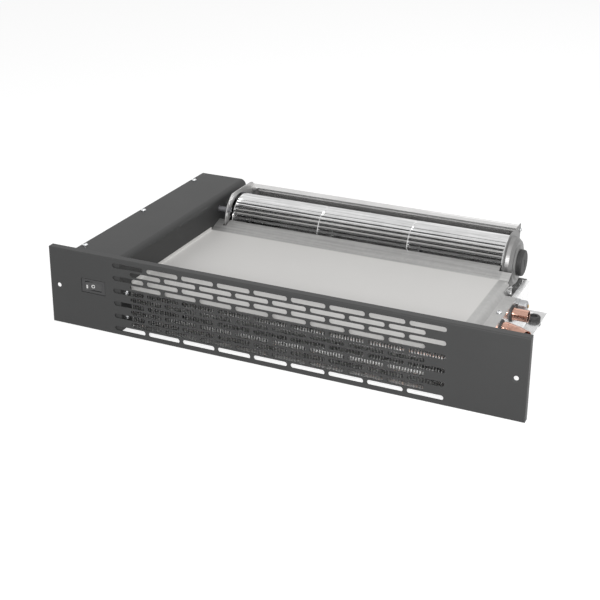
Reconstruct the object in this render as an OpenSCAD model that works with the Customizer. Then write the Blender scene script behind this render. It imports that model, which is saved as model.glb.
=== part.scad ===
// Hydronic plinth heater, 600 mm class, for the kick space under a kitchen unit.
// A painted grille panel stands in front of a finned copper coil. A tangential
// fan at the back draws room air in from above and blows it forward under the
// cover plate and through the coil. The painted box on the left holds the fan
// motor, the rocker switch and the terminals.
// X runs along the panel, Y runs from the grille to the back, Z is up.
// The origin is under the middle of the heater, on the floor.

/* [Front panel] */
// Width of the front panel
panel_w = 600; // [592:1:640]
// Height of the front panel
panel_h = 100; // [99.6:0.2:112]
// Sheet thickness of the front panel
panel_t = 1.2; // [0.8:0.1:1.5]
// Depth of the flanges folded back round the panel
panel_flange = 10; // [7:0.5:12]
// Outer radius of the panel's folds
panel_fold_r = 1.8; // [1.6:0.1:2.5]
// Length of one air slot
slot_len = 42.5; // [30:0.5:44]
// Height of one air slot
slot_h = 6; // [4:0.2:6.6]
// Distance between the slots of a row
slot_pitch_x = 47; // [46:0.2:47.6]
// Distance between the rows of slots
slot_pitch_z = 8.2; // [7.6:0.1:8.2]
// Number of slots in an odd row
slots_per_row = 9; // [7:2:9]
// Number of rows of slots
slot_rows = 11; // [9:2:11]
// Height of the lowest row above the floor
slot_low_z = 9; // [7:0.2:10]
// Distance between the two fixing holes
fixing_spacing = 575; // [560:1:578]
// Height of the fixing holes
fixing_z = 51; // [30:1:70]
// Bore of a fixing hole
fixing_hole_d = 5.5; // [4:0.1:6]
// Diameter of a fixing hole's countersink
fixing_sink_d = 10.5; // [8:0.1:12]

/* [Body] */
// Depth from the panel face to the back of the heater
unit_d = 334; // [334:1:350]
// Thickness of the painted and galvanised body sheets
sheet_t = 1.2; // [0.8:0.1:1.4]
// Height of the chassis underside, which is the height of a foot
base_z = 6; // [5:0.5:8]
// Right edge of the chassis base, from the middle
base_right = 255; // [250:1:270]
// Outer face of the chassis side wall, from the middle
wall_right = 232.2; // [232:0.1:236]
// Height of the chassis side wall's top
wall_top_z = 50; // [49.6:0.1:53]

/* [Control box] */
// Width of the control box
box_w = 69; // [66:1:80]
// Right face of the control box, left of the middle
box_right = 200; // [199.5:0.1:201]
// Height of the control box's top
box_top_z = 98; // [97:0.1:98.2]
// Outer radius of the box cover's fold
box_fold_r = 8; // [4:0.5:12]

/* [Coil] */
// Distance of the fin fronts behind the panel face
coil_setback = 25; // [23:0.5:30]
// Height of a fin
fin_h = 42; // [40:0.5:42.2]
// Thickness of a fin
fin_t = 0.3; // [0.2:0.05:0.5]
// Distance between fins
fin_pitch = 3.5; // [3:0.1:6]
// Distance between neighbouring tubes
tube_pitch = 22; // [20:0.2:22]
// Number of tube rows from front to back
tube_rows = 4; // [4:1:4]
// Outer diameter of a coil tube
tube_d = 9.6; // [8:0.1:10]
// Wall of a coil tube
tube_wall = 0.6; // [0.4:0.1:1]
// Outer diameter of the connection tails
tail_d = 15; // [12:0.5:15]
// Wall of the connection tails
tail_wall = 0.8; // [0.6:0.1:1.2]

/* [Cover plate] */
// Height of the cover plate's top
plate_z = 58; // [57:0.2:60]
// Thickness of the cover plate
plate_t = 1; // [0.7:0.1:1.2]
// Distance from the panel face to where the plate rises to the fan
plate_flat_d = 231; // [225:1:234]

/* [Fan] */
// Distance of the fan axis behind the panel face
fan_setback = 289; // [288:0.2:290]
// Height of the fan axis
fan_z = 61; // [60:0.2:62]
// Outer diameter of the impeller
impeller_d = 64; // [60:0.5:65]
// Length of one of the three impeller sections
section_l = 126; // [120:0.5:126]
// Number of blades round the impeller
blades = 32; // [24:1:36]
// Thickness of a blade
blade_t = 0.7; // [0.5:0.1:1]
// Diameter of the fan and motor shafts
shaft_d = 6; // [5:0.5:8]
// Thickness of the fan's housing sheets
fan_t = 1; // [0.8:0.1:1.2]

/* [Hidden] */
$fn = 48;

// Overrun of a cut past the face that it opens
over = 1;
// Gap between a shaft and its bearing, and between a tube and its hole
running_gap = 0.06;
// Room that a hole leaves all round a screw
screw_room = 0.2;
// Gap that keeps neighbouring pieces apart
part_gap = 0.4;

// Planes that everything is set out from
front = -unit_d / 2;
back = unit_d / 2;
panel_back = front + panel_t;
box_r = -box_right;
box_l = box_r - box_w;
base_top = base_z + sheet_t;
wall_in = wall_right - sheet_t;
wall_bottom_z = base_top;

// Machine screws: pan head with a cross recess
head_d = 7;
head_h = 2.4;
head_rim_share = 0.45;
head_top_share = 0.62;
shank_d = 3.5;
shank_l = 6;
recess_w = 1;
recess_l = 4;
recess_h = 1.4;
screw_hole_d = shank_d + 2 * screw_room;
nut_w = 7;
nut_h = 3.2;
stud_d = 4;
stud_l = 8;
stud_hole_d = stud_d + 2 * screw_room;

// Weld studs behind the panel, as x and z places
stud_inset = 7;
stud_low_z = 20;
stud_high_z = 85;
front_flange_w = 16;
wall_stud_gap = 12;
box_stud_x = box_l + stud_inset;
wall_stud_x = wall_right + front_flange_w / 2;
wall_stud_high_z = wall_top_z - wall_stud_gap;
studs = [
    [box_stud_x, stud_low_z], [box_stud_x, stud_high_z],
    [wall_stud_x, stud_low_z], [wall_stud_x, wall_stud_high_z]
];

// Rocker switch, seen through an opening in the panel
switch_w = 34;
switch_h = 18.6;
switch_offset = 3.5;
switch_x = (box_l + box_r) / 2 - switch_offset;
switch_z = 57.4;
switch_gap = 0.6;
bezel_setback = 0.5;
bezel_rim = 3;
bezel_w = switch_w - 2 * switch_gap;
bezel_h = switch_h - 2 * switch_gap;
body_w = 27;
body_h = 14.5;
body_d = 20;
body_wall = 1.4;
rocker_gap = 0.45;
rocker_w = bezel_w - 4 * bezel_rim + 2 * rocker_gap;
rocker_h = bezel_h - 2 * bezel_rim - 2 * rocker_gap;
rocker_rise = 1.5;
rocker_pivot_d = 2.4;
rocker_pivot_setback = 5;
rocker_skirt = 3.2;
rocker_taper = 0.8;
rocker_belly = 1.4;
rocker_leg_w = 5;
rocker_tilt = 8;
rocker_pin_l = 0.6;
rocker_recess_w = rocker_w + 2 * (rocker_gap + rocker_pin_l / 2);
rocker_y = front + rocker_pivot_setback;
tab_w = 4.8;
tab_t = 0.8;
tab_l = 8;
tab_count = 3;
tab_pitch = 8;

// Control box
tray_y0 = panel_back;
box_fold_in = box_fold_r - sheet_t;
flange_w = 12;
side_flange_w = 22;
back_flange_w = 6;
cover_screw_edge = 5;
cover_screw_first = 26;
cover_screw_last = 299;
cover_screws_y = [cover_screw_first, (cover_screw_first + cover_screw_last) / 2, cover_screw_last];
side_screw_setback = 14;
side_screw_y = front + side_screw_setback;
side_screw_high_z = 51;
side_screw_low_z = 20;
side_screws_z = [side_screw_low_z, side_screw_high_z];
gland_setback = 235;
gland_y = front + gland_setback;
gland_z = 40;
gland_thread_d = 16;
gland_hex_w = 22;
gland_hex_h = 6;
gland_cap_d = 19;
gland_cap_h = 9;
gland_bore_d = 8;
gland_nut_h = 4;
gland_cap_share = 0.75;
gland_thread_l = 9;
earth_inset = 20;
earth_setback = 130;
earth_x = box_l + earth_inset;
earth_y = front + earth_setback;
earth_l = 16;
washer_t = 1;
washer_d = 11;

// Coil
fin_gap = 0.2;
fin_z0 = base_top + fin_gap;
coil_front = front + coil_setback;
coil_d = tube_rows * tube_pitch;
coil_back = coil_front + coil_d;
end_t = 1;
left_sheet_x = box_r;
right_sheet_x = 206;
end_lip = 8;
end_nose = 8;
end_screw_in = 12;
tube_low_z = fin_z0 + fin_h / 2 - tube_pitch / 2;
tube_high_z = tube_low_z + tube_pitch;
tube_hole_d = tube_d + 2 * running_gap;
hairpin_reach = 6;
tube_out = 4;
bend_r = tube_pitch / 2;
fin_x0 = left_sheet_x + end_t + fin_pitch / 2;
fin_span = right_sheet_x - fin_x0 - fin_pitch / 2;
fin_count = floor(fin_span / fin_pitch) + 1;
window_margin = 3;
window_y0 = coil_front + tube_pitch / 2 - tube_d / 2 - window_margin;
window_y1 = coil_back - tube_pitch / 2 + tube_d / 2 + window_margin;
window_z0 = tube_low_z - tube_d / 2 - window_margin;
window_z1 = tube_high_z + tube_d / 2 + window_margin;

// Tails: the flow leaves at the back, the return in front of it
tail_run_x = 220;
tail_neck_r = tail_run_x - right_sheet_x - end_t - tube_out;
tail_cone_l = 5;
tail_z = tube_high_z;
flow_setback = 181;
return_setback = 137;
flow_y = front + flow_setback;
return_y = front + return_setback;
tail_bend_r = wall_in - tail_run_x;
tail_out = 21;
header_more = 1;
header_d = tail_d + header_more;
header_over = 1;
riser_gap = 6;
return_bend_r = 15;
return_turn = 32;
return_leg = 12;
return_socket_l = 13;
socket_lap = 2;
sleeve_l = 3;
socket_d = tail_d + 2 * tail_wall;
socket_wall = tail_wall - running_gap;
sleeve_wall = tail_wall + tail_wall / 2;
neck_back = 1;
neck_y = coil_back - neck_back;
grommet_wall = 1.5;
grommet_lip = 0.3;
grommet_bevel = 0.5;
grommet_hole_d = tail_d + 2 * grommet_wall;
grommet_rim_d = tail_d + 4 * grommet_wall;
grommet_in_d = grommet_hole_d + 2 * grommet_lip;
grommet_rim_t = 2;
grommet_in_t = 1.6;
bead_gap = 1;
bead_w = 1.6;
bead_h = 0.5;
bead_x = wall_right + grommet_rim_t + bead_gap;

// Air vent, on a small branch of the flow tail
branch_d = 8;
branch_r = 8;
branch_rise = 3;
branch_z = tail_z + branch_rise;
vent_setback = 203;
vent_y = front + vent_setback;
vent_hole_d = branch_d + 2 * part_gap;
vent_d = 13;
vent_l = 14;
vent_round = 2.5;
vent_hex_w = 14;
vent_hex_l = 4;
vent_screw_d = 5;
vent_screw_l = 6;
vent_screw_proud = 1.2;
vent_square = 3.2;

// Thermostat that keeps the fan off until the return tail is warm
stat_d = 14;
stat_l = 8;
stat_boss_d = 10;
stat_boss_l = 3;
stat_gap = 2;
stat_y = coil_back + stat_gap + stat_d / 2;
clip_t = 0.8;
clip_w = 6;
lead_d = 3;
lead_gap = 8;
lead_y = coil_back + end_lip + lead_gap;
lead_hole_z = 30;

// Cover plate
plate_low = plate_z - plate_t;
upstand_h = 4;
plate_bend_x = 212;
plate_step_x = 217;
plate_bend_r = 8;
lip_z = wall_top_z;
lip_r = 2;
notch_setback = 203;
rise_mid_d = 14;
rise_end_d = 24;
rise_mid_h = 5.4;
rise_end_h = 8.2;
rise_right_x = 213;
rise_y = front + plate_flat_d;
rise_mid = [rise_y + rise_mid_d, plate_low + rise_mid_h];
rise_end = [rise_y + rise_end_d, plate_low + rise_end_h];
bell_room = 2;
plate_screw_x = 225;
plate_screw_setback = 152;
plate_screw_front = 45;
plate_screws_y = [front + plate_screw_front, front + plate_screw_setback];
wall_lip_w = 6;
wall_tab_w = 24;
wall_end_setback = 262;
wall_foot_w = 8;
base_back_right = 212;
base_setback = 12;
ear_end_setback = 270;
tray_upstand = 14;

// Feet: push-in rubber buffers
foot_d = 18;
foot_neck_d = 10;
foot_top_d = 17;
foot_top_h = 5;
foot_dish_d = 9;
foot_dish_h = 2;
foot_bevel = 1;
foot_edge = 10;
foot_back_setback = 244;
foot_front_setback = 60;
foot_right_x = base_right - foot_edge;
foot_left_x = (box_l + box_r) / 2;
feet = [
    [foot_left_x, front + foot_front_setback], [foot_left_x, front + foot_back_setback],
    [foot_right_x, front + foot_front_setback], [foot_right_x, front + foot_back_setback]
];

// Fan
fan_y = front + fan_setback;
impeller_r = impeller_d / 2;
disc_t = 1;
impeller_x0 = -182;
left_play = 4;
right_play = 2.4;
plate_left_x = impeller_x0 - left_play;
plate_right_x = impeller_x0 + 3 * section_l + right_play;
blade_arc_r = 6.3;
blade_depth = 6.5;
blade_in_r = impeller_r - blade_depth;
blade_reach = 4.2;
ring_lap = 2.5;
ring_in_r = blade_in_r - ring_lap;
hub_d = 16;
hub_l = 5;
left_hole_gap = 1.5;
left_ring_w = 11.5;
right_ring_w = 5;
bell_gap = 2;
left_hole_r = impeller_r + left_hole_gap;
left_plate_r = left_hole_r + left_ring_w;
bell_r = impeller_r + bell_gap;
right_plate_r = bell_r + right_ring_w;
bell_hole_share = 0.35;
bell_shares = [
    [1, 0], [0.94, 0.1], [0.9, 0.5], [0.8, 0.82], [0.68, 0.82], [0.62, 1], [bell_hole_share, 1]
];
bell_h = 11.5;
mount_hole_r = bell_r * bell_hole_share;
mount_block_d = 34;
mount_block_l = 6.5;
mount_block_r = 2;
mount_flange_d = 28;
mount_flange_l = 4;
mount_slot_w = 2.4;
mount_slot_l = 10;
mount_slot_h = 1.5;
mount_cap = 2.5;
round_share = 0.3;
bush_d = 12;
bush_l = 11;
plate_foot_w = 30;
foot_screw_y = 12;
plate_foot_grow = 8;
foot_lip_w = 11;
tab_round = 5;
tab_back_gap = 8;
tab_top_z = 100.2;
apex_gap = 7;
apex_z = 99.2;
apex_r = 3;
ear_hole_d = 3.6;
ear_screw_share = 0.85;
scroll_low_gap = 2.5;
scroll_high_gap = 14.7;
scroll_low_r = impeller_r + scroll_low_gap;
scroll_high_r = impeller_r + scroll_high_gap;
scroll_from = 45;
scroll_to = -90;
scroll_steps = 14;
rail_w = 11.5;
rail_rise = 1;
rail_drop = 4;
rail_back_r = 2;
rail_front_r = 5;
scroll_ramp_d = 30;
scroll_foot_d = 48;
scroll_toe_d = 56;
scroll_ramp_h = 6;
tongue_h = 16;
tongue_lap = 9;
tongue_in = 2;

// Coupling between the motor shaft and the impeller
coupling_d = 24;
coupling_flange_d = 30;
coupling_l = 8;
coupling_flange_t = 2;

// Motor: shaded-pole type with a C-shaped stack
stack_inset = 38;
stack_x0 = box_r - stack_inset;
stack_l = 20;
stack_x1 = stack_x0 + stack_l;
stack_w = 48;
stack_up = 24;
stack_down = 38;
leg_h = 10;
window_w = 28;
window_h = 13;
rotor_d = 25;
rotor_gap = 0.5;
rotor_over = 1;
bobbin_t = 1;
bobbin_rim = 1.5;
winding_h = 9.5;
bracket_t = 2;
bracket_gap = 6;
bracket_arm_w = 14;
motor_screw_y = 19;
motor_screw_d = 4;
boss_d = 8;
dome_d = 16;
dome_l = 8;
bearing_d = 12;
pillar_r = (left_hole_r + left_plate_r) / 2;
pillar_angles = [150, 30];
pillar_d = 7;
pillar_screw_d = 4;
shaft_tail = 3;
motor_hole_d = 44;

// Terminal block
block_w = 34;
block_d = 18;
block_h = 17;
block_inset = 22;
block_setback = 185;
block_x = box_l + block_inset;
block_y = front + block_setback;
block_poles = 4;
block_wire_d = 4;
block_screw_d = 5;
block_screw_l = 6;
block_wire_h = 6;
block_wire_z = base_top + block_wire_h;
block_groove_w = 1.2;
block_groove_h = 3;
block_screw_shares = [0.28, 0.72];
block_slot_h = 1;

// Wire routes inside the control box and under the cover plate, as round numbers
wire_d = 2.4;
wire_bend_r = 6;
wire_sides = 8;
wire_in = 2;
wire_stub = 14;
wire_far = 40;
wire_drop = 26;

// Direction, path and sheet helpers
function unit(v) = v / norm(v);
function left_of(v) = [-v[1], v[0]];
function reversed(p) = [for (i = [len(p) - 1:-1:0]) p[i]];

// Far side of a folded sheet that follows path p, at thickness t to its left
function far_side(p, t) = [
    for (i = [0:len(p) - 1])
        let (a = i == 0 ? unit(p[1] - p[0]) : unit(p[i] - p[i - 1]))
        let (b = i == len(p) - 1 ? a : unit(p[i + 1] - p[i]))
        let (m = unit(left_of(a) + left_of(b)))
        p[i] + m * t / (m * left_of(a))
];

// Path p with its corners rounded by n steps to radius radii, or to one radius a corner
function eased(p, radii, n = 5) = [
    p[0],
    for (i = [1:len(p) - 2])
        let (r = is_list(radii) ? radii[i - 1] : radii)
        let (a = unit(p[i - 1] - p[i]), b = unit(p[i + 1] - p[i]))
        let (half = acos(a * b) / 2)
        let (centre = p[i] + unit(a + b) * r / sin(half))
        let (s = p[i] + a * r / tan(half) - centre, e = p[i] + b * r / tan(half) - centre)
        let (from = atan2(s[1], s[0]), turn = (atan2(e[1], e[0]) - from + 540) % 360 - 180)
        for (k = [0:n]) centre + r * [cos(from + turn * k / n), sin(from + turn * k / n)],
    p[len(p) - 1]
];

module sheet(p, t) {
    polygon(concat(p, reversed(far_side(p, t))));
}

module slab(x0, x1, y0, y1, z0, z1) {
    translate([x0, y0, z0]) cube([x1 - x0, y1 - y0, z1 - z0]);
}

// Extrudes a drawing of Y and Z along X
module run_x(x0, x1) {
    translate([x0, 0, 0]) rotate([90, 0, 90]) linear_extrude(x1 - x0) children();
}

// Extrudes a drawing of X and Z along Y
module run_y(y0, y1) {
    translate([0, y1, 0]) rotate([90, 0, 0]) linear_extrude(y1 - y0) children();
}

module rod_x(x0, x1, y, z, d) {
    run_x(x0, x1) translate([y, z]) circle(d = d);
}

module rod_y(y0, y1, x, z, d) {
    run_y(y0, y1) translate([x, z]) circle(d = d);
}

module rod_z(z0, z1, x, y, d) {
    translate([x, y, z0]) cylinder(h = z1 - z0, d = d);
}

module ring(d, wall) {
    difference() {
        circle(d = d);
        if (wall > 0) circle(d = d - 2 * wall);
    }
}

// Puts a drawing's own axes a, b and c at point p
module framed(p, a, b, c) {
    multmatrix([
        [a[0], b[0], c[0], p[0]],
        [a[1], b[1], c[1], p[1]],
        [a[2], b[2], c[2], p[2]],
        [0, 0, 0, 1]
    ]) children();
}

// Tube along the points p, with bends of radius r
module pipe(p, d, wall, r) {
    n = len(p);
    dirs = [for (i = [0:n - 2]) unit(p[i + 1] - p[i])];
    turns = [for (i = [1:1:n - 2]) acos(dirs[i - 1] * dirs[i])];
    cuts = [0, for (t = turns) r * tan(t / 2), 0];
    for (i = [0:n - 2]) {
        c = dirs[i];
        a = unit(abs(c[2]) < 0.9 ? cross(c, [0, 0, 1]) : cross(c, [1, 0, 0]));
        framed(p[i] + c * cuts[i], a, cross(c, a), c)
            linear_extrude(norm(p[i + 1] - p[i]) - cuts[i] - cuts[i + 1]) ring(d, wall);
    }
    for (i = [1:1:n - 2]) {
        u = dirs[i - 1];
        v = dirs[i];
        in = unit(v - u * (u * v));
        start = p[i] - u * cuts[i];
        framed(start + in * r, -in, u, cross(-in, u))
            rotate_extrude(angle = turns[i - 1]) translate([r, 0]) ring(d, wall);
    }
}

// Wire's route through the points p, with its corners eased from r before them to r after
function route(p, r) = [
    p[0],
    for (i = [1:len(p) - 2])
        let (a = p[i] + unit(p[i - 1] - p[i]) * r, b = p[i] + unit(p[i + 1] - p[i]) * r)
        for (t = [0, 0.25, 0.5, 0.75, 1]) a * (1 - t) ^ 2 + p[i] * 2 * t * (1 - t) + b * t ^ 2,
    p[len(p) - 1]
];

// Side vectors square to each direction, each carried on from the one before
function carried(dirs, s, i = 0) = i == len(dirs) ? [] :
    let (a = unit(s - dirs[i] * (s * dirs[i])))
    concat([a], carried(dirs, a, i + 1));

// Wire of diameter d through the points p
module wire(p, d) {
    q = route(p, wire_bend_r);
    n = len(q);
    s = wire_sides;
    dirs = [for (i = [0:n - 1]) unit(q[min(i + 1, n - 1)] - q[max(i - 1, 0)])];
    side = carried(dirs, abs(dirs[0][2]) < 0.9 ? [0, 0, 1] : [1, 0, 0]);
    polyhedron(
        [for (i = [0:n - 1], k = [0:s - 1])
            q[i] + d / 2 * (cos(360 * k / s) * side[i] + sin(360 * k / s) * cross(dirs[i], side[i]))],
        concat(
            [[for (k = [0:s - 1]) k], [for (k = [s - 1:-1:0]) (n - 1) * s + k]],
            [for (i = [0:n - 2], k = [0:s - 1])
                [i * s + k, (i + 1) * s + k, (i + 1) * s + (k + 1) % s, i * s + (k + 1) % s]]
        )
    );
}

// Pan-head screw along Z: the head stands on z = 0 and the shank hangs below
module screw(length = shank_l) {
    difference() {
        union() {
            cylinder(h = head_h * head_rim_share, d = head_d);
            translate([0, 0, head_h * head_rim_share])
                cylinder(h = head_h * (1 - head_rim_share), d1 = head_d, d2 = head_d * head_top_share);
        }
        for (a = [0, 90]) rotate([0, 0, a])
            translate([-recess_l / 2, -recess_w / 2, head_h - recess_h])
                cube([recess_l, recess_w, recess_h + over]);
    }
    translate([0, 0, -length]) cylinder(h = length, d = shank_d);
}

module nut(h = nut_h, w = nut_w, d = stud_d) {
    difference() {
        cylinder(h = h, d = w / cos(30), $fn = 6);
        translate([0, 0, -over]) cylinder(h = h + 2 * over, d = d + 2 * running_gap);
    }
}

// Rectangle whose two corners on the front side are rounded
module front_rounded(depth, height, r) {
    translate([r, 0]) square([depth - r, height]);
    translate([0, r]) square([depth, height - 2 * r]);
    translate([r, r]) circle(r);
    translate([r, height - r]) circle(r);
}

module slot_2d() {
    square([slot_len - slot_h, slot_h], center = true);
    for (s = [-1, 1]) translate([s * (slot_len - slot_h) / 2, 0]) circle(d = slot_h);
}

module front_panel() color("#54544f") {
    difference() {
        intersection() {
            run_x(-panel_w / 2, panel_w / 2) translate([front, 0])
                front_rounded(panel_flange, panel_h, panel_fold_r);
            translate([panel_w / 2, front, 0]) rotate([0, 0, 90])
                linear_extrude(panel_h) front_rounded(panel_flange, panel_w, panel_fold_r);
        }
        slab(
            -panel_w / 2 + panel_t, panel_w / 2 - panel_t,
            panel_back, front + panel_flange + over, panel_t, panel_h - panel_t
        );
        run_y(front - over, panel_back + over) {
            for (row = [0:slot_rows - 1]) {
                count = slots_per_row - row % 2;
                for (i = [0:count - 1])
                    translate([(i - (count - 1) / 2) * slot_pitch_x, slot_low_z + row * slot_pitch_z])
                        slot_2d();
            }
            translate([switch_x, switch_z]) square([switch_w, switch_h], center = true);
        }
        for (s = [-1, 1]) translate([s * fixing_spacing / 2, front, fixing_z]) rotate([-90, 0, 0]) {
            translate([0, 0, -over]) cylinder(h = panel_t + 2 * over, d = fixing_hole_d);
            cylinder(h = panel_t / 2, d1 = fixing_sink_d, d2 = fixing_hole_d);
        }
    }
    for (s = studs) rod_y(panel_back, panel_back + stud_l, s[0], s[1], stud_d);
}

module panel_nuts() color("#c8c8c4") {
    for (s = studs) translate([s[0], panel_back + sheet_t, s[1]]) rotate([-90, 0, 0]) nut();
}

// Space inside the control box's cover
module box_inside() {
    w = box_w - sheet_t;
    h = box_top_z - sheet_t - base_z;
    translate([box_l, base_z]) {
        square([w - box_fold_in, h]);
        square([w, h - box_fold_in]);
        translate([w - box_fold_in, h - box_fold_in]) circle(box_fold_in);
    }
}

module control_tray() color("#4b4b49") {
    in_r = box_r - sheet_t;
    top = box_top_z - sheet_t;
    difference() {
        intersection() {
            union() {
                slab(box_l, in_r, tray_y0, back, base_z, base_top);
                slab(box_l, box_l + sheet_t, tray_y0, back, base_z, top);
                slab(box_l, box_l + flange_w, tray_y0, back, top - sheet_t, top);
                slab(box_l, in_r, tray_y0, tray_y0 + sheet_t, base_z, top);
                slab(in_r - sheet_t, in_r, tray_y0, front + side_flange_w, base_z, top);
                slab(box_l, in_r, back - sheet_t, back, base_z, top);
                slab(in_r - sheet_t, in_r, back - back_flange_w, back, base_z, top);
            }
            run_y(tray_y0, back) box_inside();
        }
        slab(
            switch_x - body_w / 2 - part_gap, switch_x + body_w / 2 + part_gap,
            tray_y0 - over, tray_y0 + sheet_t + over,
            switch_z - body_h / 2 - part_gap, switch_z + body_h / 2 + part_gap
        );
        for (s = [studs[0], studs[1]])
            rod_y(tray_y0 - over, tray_y0 + sheet_t + over, s[0], s[1], stud_hole_d);
        for (y = cover_screws_y)
            rod_z(top - sheet_t - over, top + over, box_l + cover_screw_edge, front + y, screw_hole_d);
        for (z = side_screws_z)
            rod_x(in_r - sheet_t - over, in_r + over, side_screw_y, z, screw_hole_d);
        rod_x(box_l - over, box_l + sheet_t + over, gland_y, gland_z, gland_thread_d + 2 * part_gap);
        for (f = feet) rod_z(base_z - over, base_top + over, f[0], f[1], foot_neck_d);
        rod_z(base_z - over, base_top + over, earth_x, earth_y, stud_hole_d);
    }
}

module control_cover() color("#575756") {
    difference() {
        run_y(tray_y0, back)
            sheet(eased([
                [box_l, box_top_z], [box_r, box_top_z], [box_r, base_z]
            ], box_fold_r, 10), -sheet_t);
        for (y = cover_screws_y)
            rod_z(
                box_top_z - sheet_t - over, box_top_z + over,
                box_l + cover_screw_edge, front + y, screw_hole_d
            );
        for (z = side_screws_z)
            rod_x(box_r - sheet_t - over, box_r + over, side_screw_y, z, screw_hole_d);
        slab(box_r - sheet_t - over, box_r + over, window_y0, window_y1, window_z0, window_z1);
        rod_x(box_r - sheet_t - over, box_r + over, fan_y, fan_z, motor_hole_d);
        for (p = pillar_places())
            rod_x(box_r - sheet_t - over, box_r + over, p[0], p[1], pillar_d + 2);
        rod_x(box_r - sheet_t - over, box_r + over, lead_y, lead_hole_z, lead_d + 2 * part_gap);
        for (y = base_screws_y)
            rod_x(box_r - sheet_t - over, box_r + over, y, base_screw_z, screw_hole_d);
    }
}

module cover_screws() color("#d9d9d6") {
    for (y = cover_screws_y)
        translate([box_l + cover_screw_edge, front + y, box_top_z]) rotate([0, 0, y]) screw();
}

module side_screws() color("#d9d9d6") {
    for (z = side_screws_z)
        translate([box_r, side_screw_y, z]) rotate([0, 90, 0]) rotate([0, 0, z]) screw();
}

// Screws that join the chassis: base to box, side wall to base
base_screw_z = base_top + tray_upstand / 2 + 1;
base_screw_first = 145;
base_screw_last = 225;
base_screws_y = [front + base_screw_first, front + base_screw_last];
wall_screw_x = wall_right + wall_foot_w / 2;
wall_screw_first = 90;
wall_screw_last = 150;
wall_screws_y = [front + wall_screw_first, front + wall_screw_last];

module chassis_base() color("#b4b6b7") {
    difference() {
        union() {
            slab(box_r, base_right, front + base_setback, front + ear_end_setback, base_z, base_top);
            slab(box_r, base_back_right, coil_front, back, base_z, base_top);
            slab(
                box_r, box_r + sheet_t, coil_back + end_lip + part_gap, back,
                base_z, base_top + tray_upstand
            );
            slab(box_r, base_back_right, back - sheet_t, back, base_z, base_top + tray_upstand);
        }
        for (f = feet) rod_z(base_z - over, base_top + over, f[0], f[1], foot_neck_d);
        for (y = base_screws_y)
            rod_x(box_r - over, box_r + sheet_t + over, y, base_screw_z, screw_hole_d);
        for (y = wall_screws_y) rod_z(base_z - over, base_top + over, wall_screw_x, y, screw_hole_d);
        for (s = fan_foot_screws()) rod_z(base_z - over, base_top + over, s[0], s[1], screw_hole_d);
        for (s = end_lip_screws) rod_z(base_z - over, base_top + over, s[0], s[1], screw_hole_d);
    }
}

module chassis_side_wall() color("#bcbec0") {
    end = front + wall_end_setback;
    difference() {
        union() {
            run_y(panel_back, end) sheet([
                [wall_in - wall_lip_w, wall_top_z - sheet_t], [wall_in, wall_top_z - sheet_t],
                [wall_in, wall_bottom_z], [wall_right + wall_foot_w, wall_bottom_z]
            ], sheet_t);
            slab(
                wall_in, wall_right + front_flange_w, panel_back, panel_back + sheet_t,
                wall_bottom_z, wall_top_z
            );
            for (y = plate_screws_y)
                slab(
                    plate_screw_x - wall_lip_w, wall_in, y - wall_tab_w / 2, y + wall_tab_w / 2,
                    wall_top_z - sheet_t, wall_top_z
                );
        }
        for (y = [flow_y, return_y])
            rod_x(wall_in - over, wall_right + over, y, tail_z, grommet_hole_d);
        rod_x(wall_in - over, wall_right + over, vent_y, branch_z, vent_hole_d);
        for (s = [studs[2], studs[3]])
            rod_y(panel_back - over, panel_back + sheet_t + over, s[0], s[1], stud_hole_d);
        for (y = plate_screws_y)
            rod_z(wall_top_z - sheet_t - over, wall_top_z + over, plate_screw_x, y, screw_hole_d);
        for (y = wall_screws_y)
            rod_z(wall_bottom_z - over, wall_bottom_z + sheet_t + over, wall_screw_x, y, screw_hole_d);
        for (f = feet)
            rod_z(
                wall_bottom_z - over, wall_bottom_z + sheet_t + over, f[0], f[1], foot_top_d + 2 * part_gap
            );
    }
}

module chassis_screws() color("#c8c8c4") {
    for (y = base_screws_y)
        translate([box_r + sheet_t, y, base_screw_z]) rotate([0, 90, 0]) screw(base_z);
    for (y = wall_screws_y)
        translate([wall_screw_x, y, wall_bottom_z + sheet_t]) rotate([0, 0, y]) screw(base_z);
}

module rubber_feet() color("#33332f") {
    for (f = feet) translate([f[0], f[1], 0]) difference() {
        rotate_extrude() polygon([
            [0, 0], [foot_d / 2 - foot_bevel, 0], [foot_d / 2, foot_bevel], [foot_d / 2, base_z],
            [foot_neck_d / 2, base_z], [foot_neck_d / 2, base_top], [foot_top_d / 2, base_top],
            [foot_top_d / 2, base_top + foot_top_h - foot_bevel],
            [foot_top_d / 2 - foot_bevel, base_top + foot_top_h],
            [0, base_top + foot_top_h]
        ]);
        translate([0, 0, base_top + foot_top_h - foot_dish_h])
            cylinder(h = foot_dish_h + over, d = foot_dish_d);
    }
}

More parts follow.
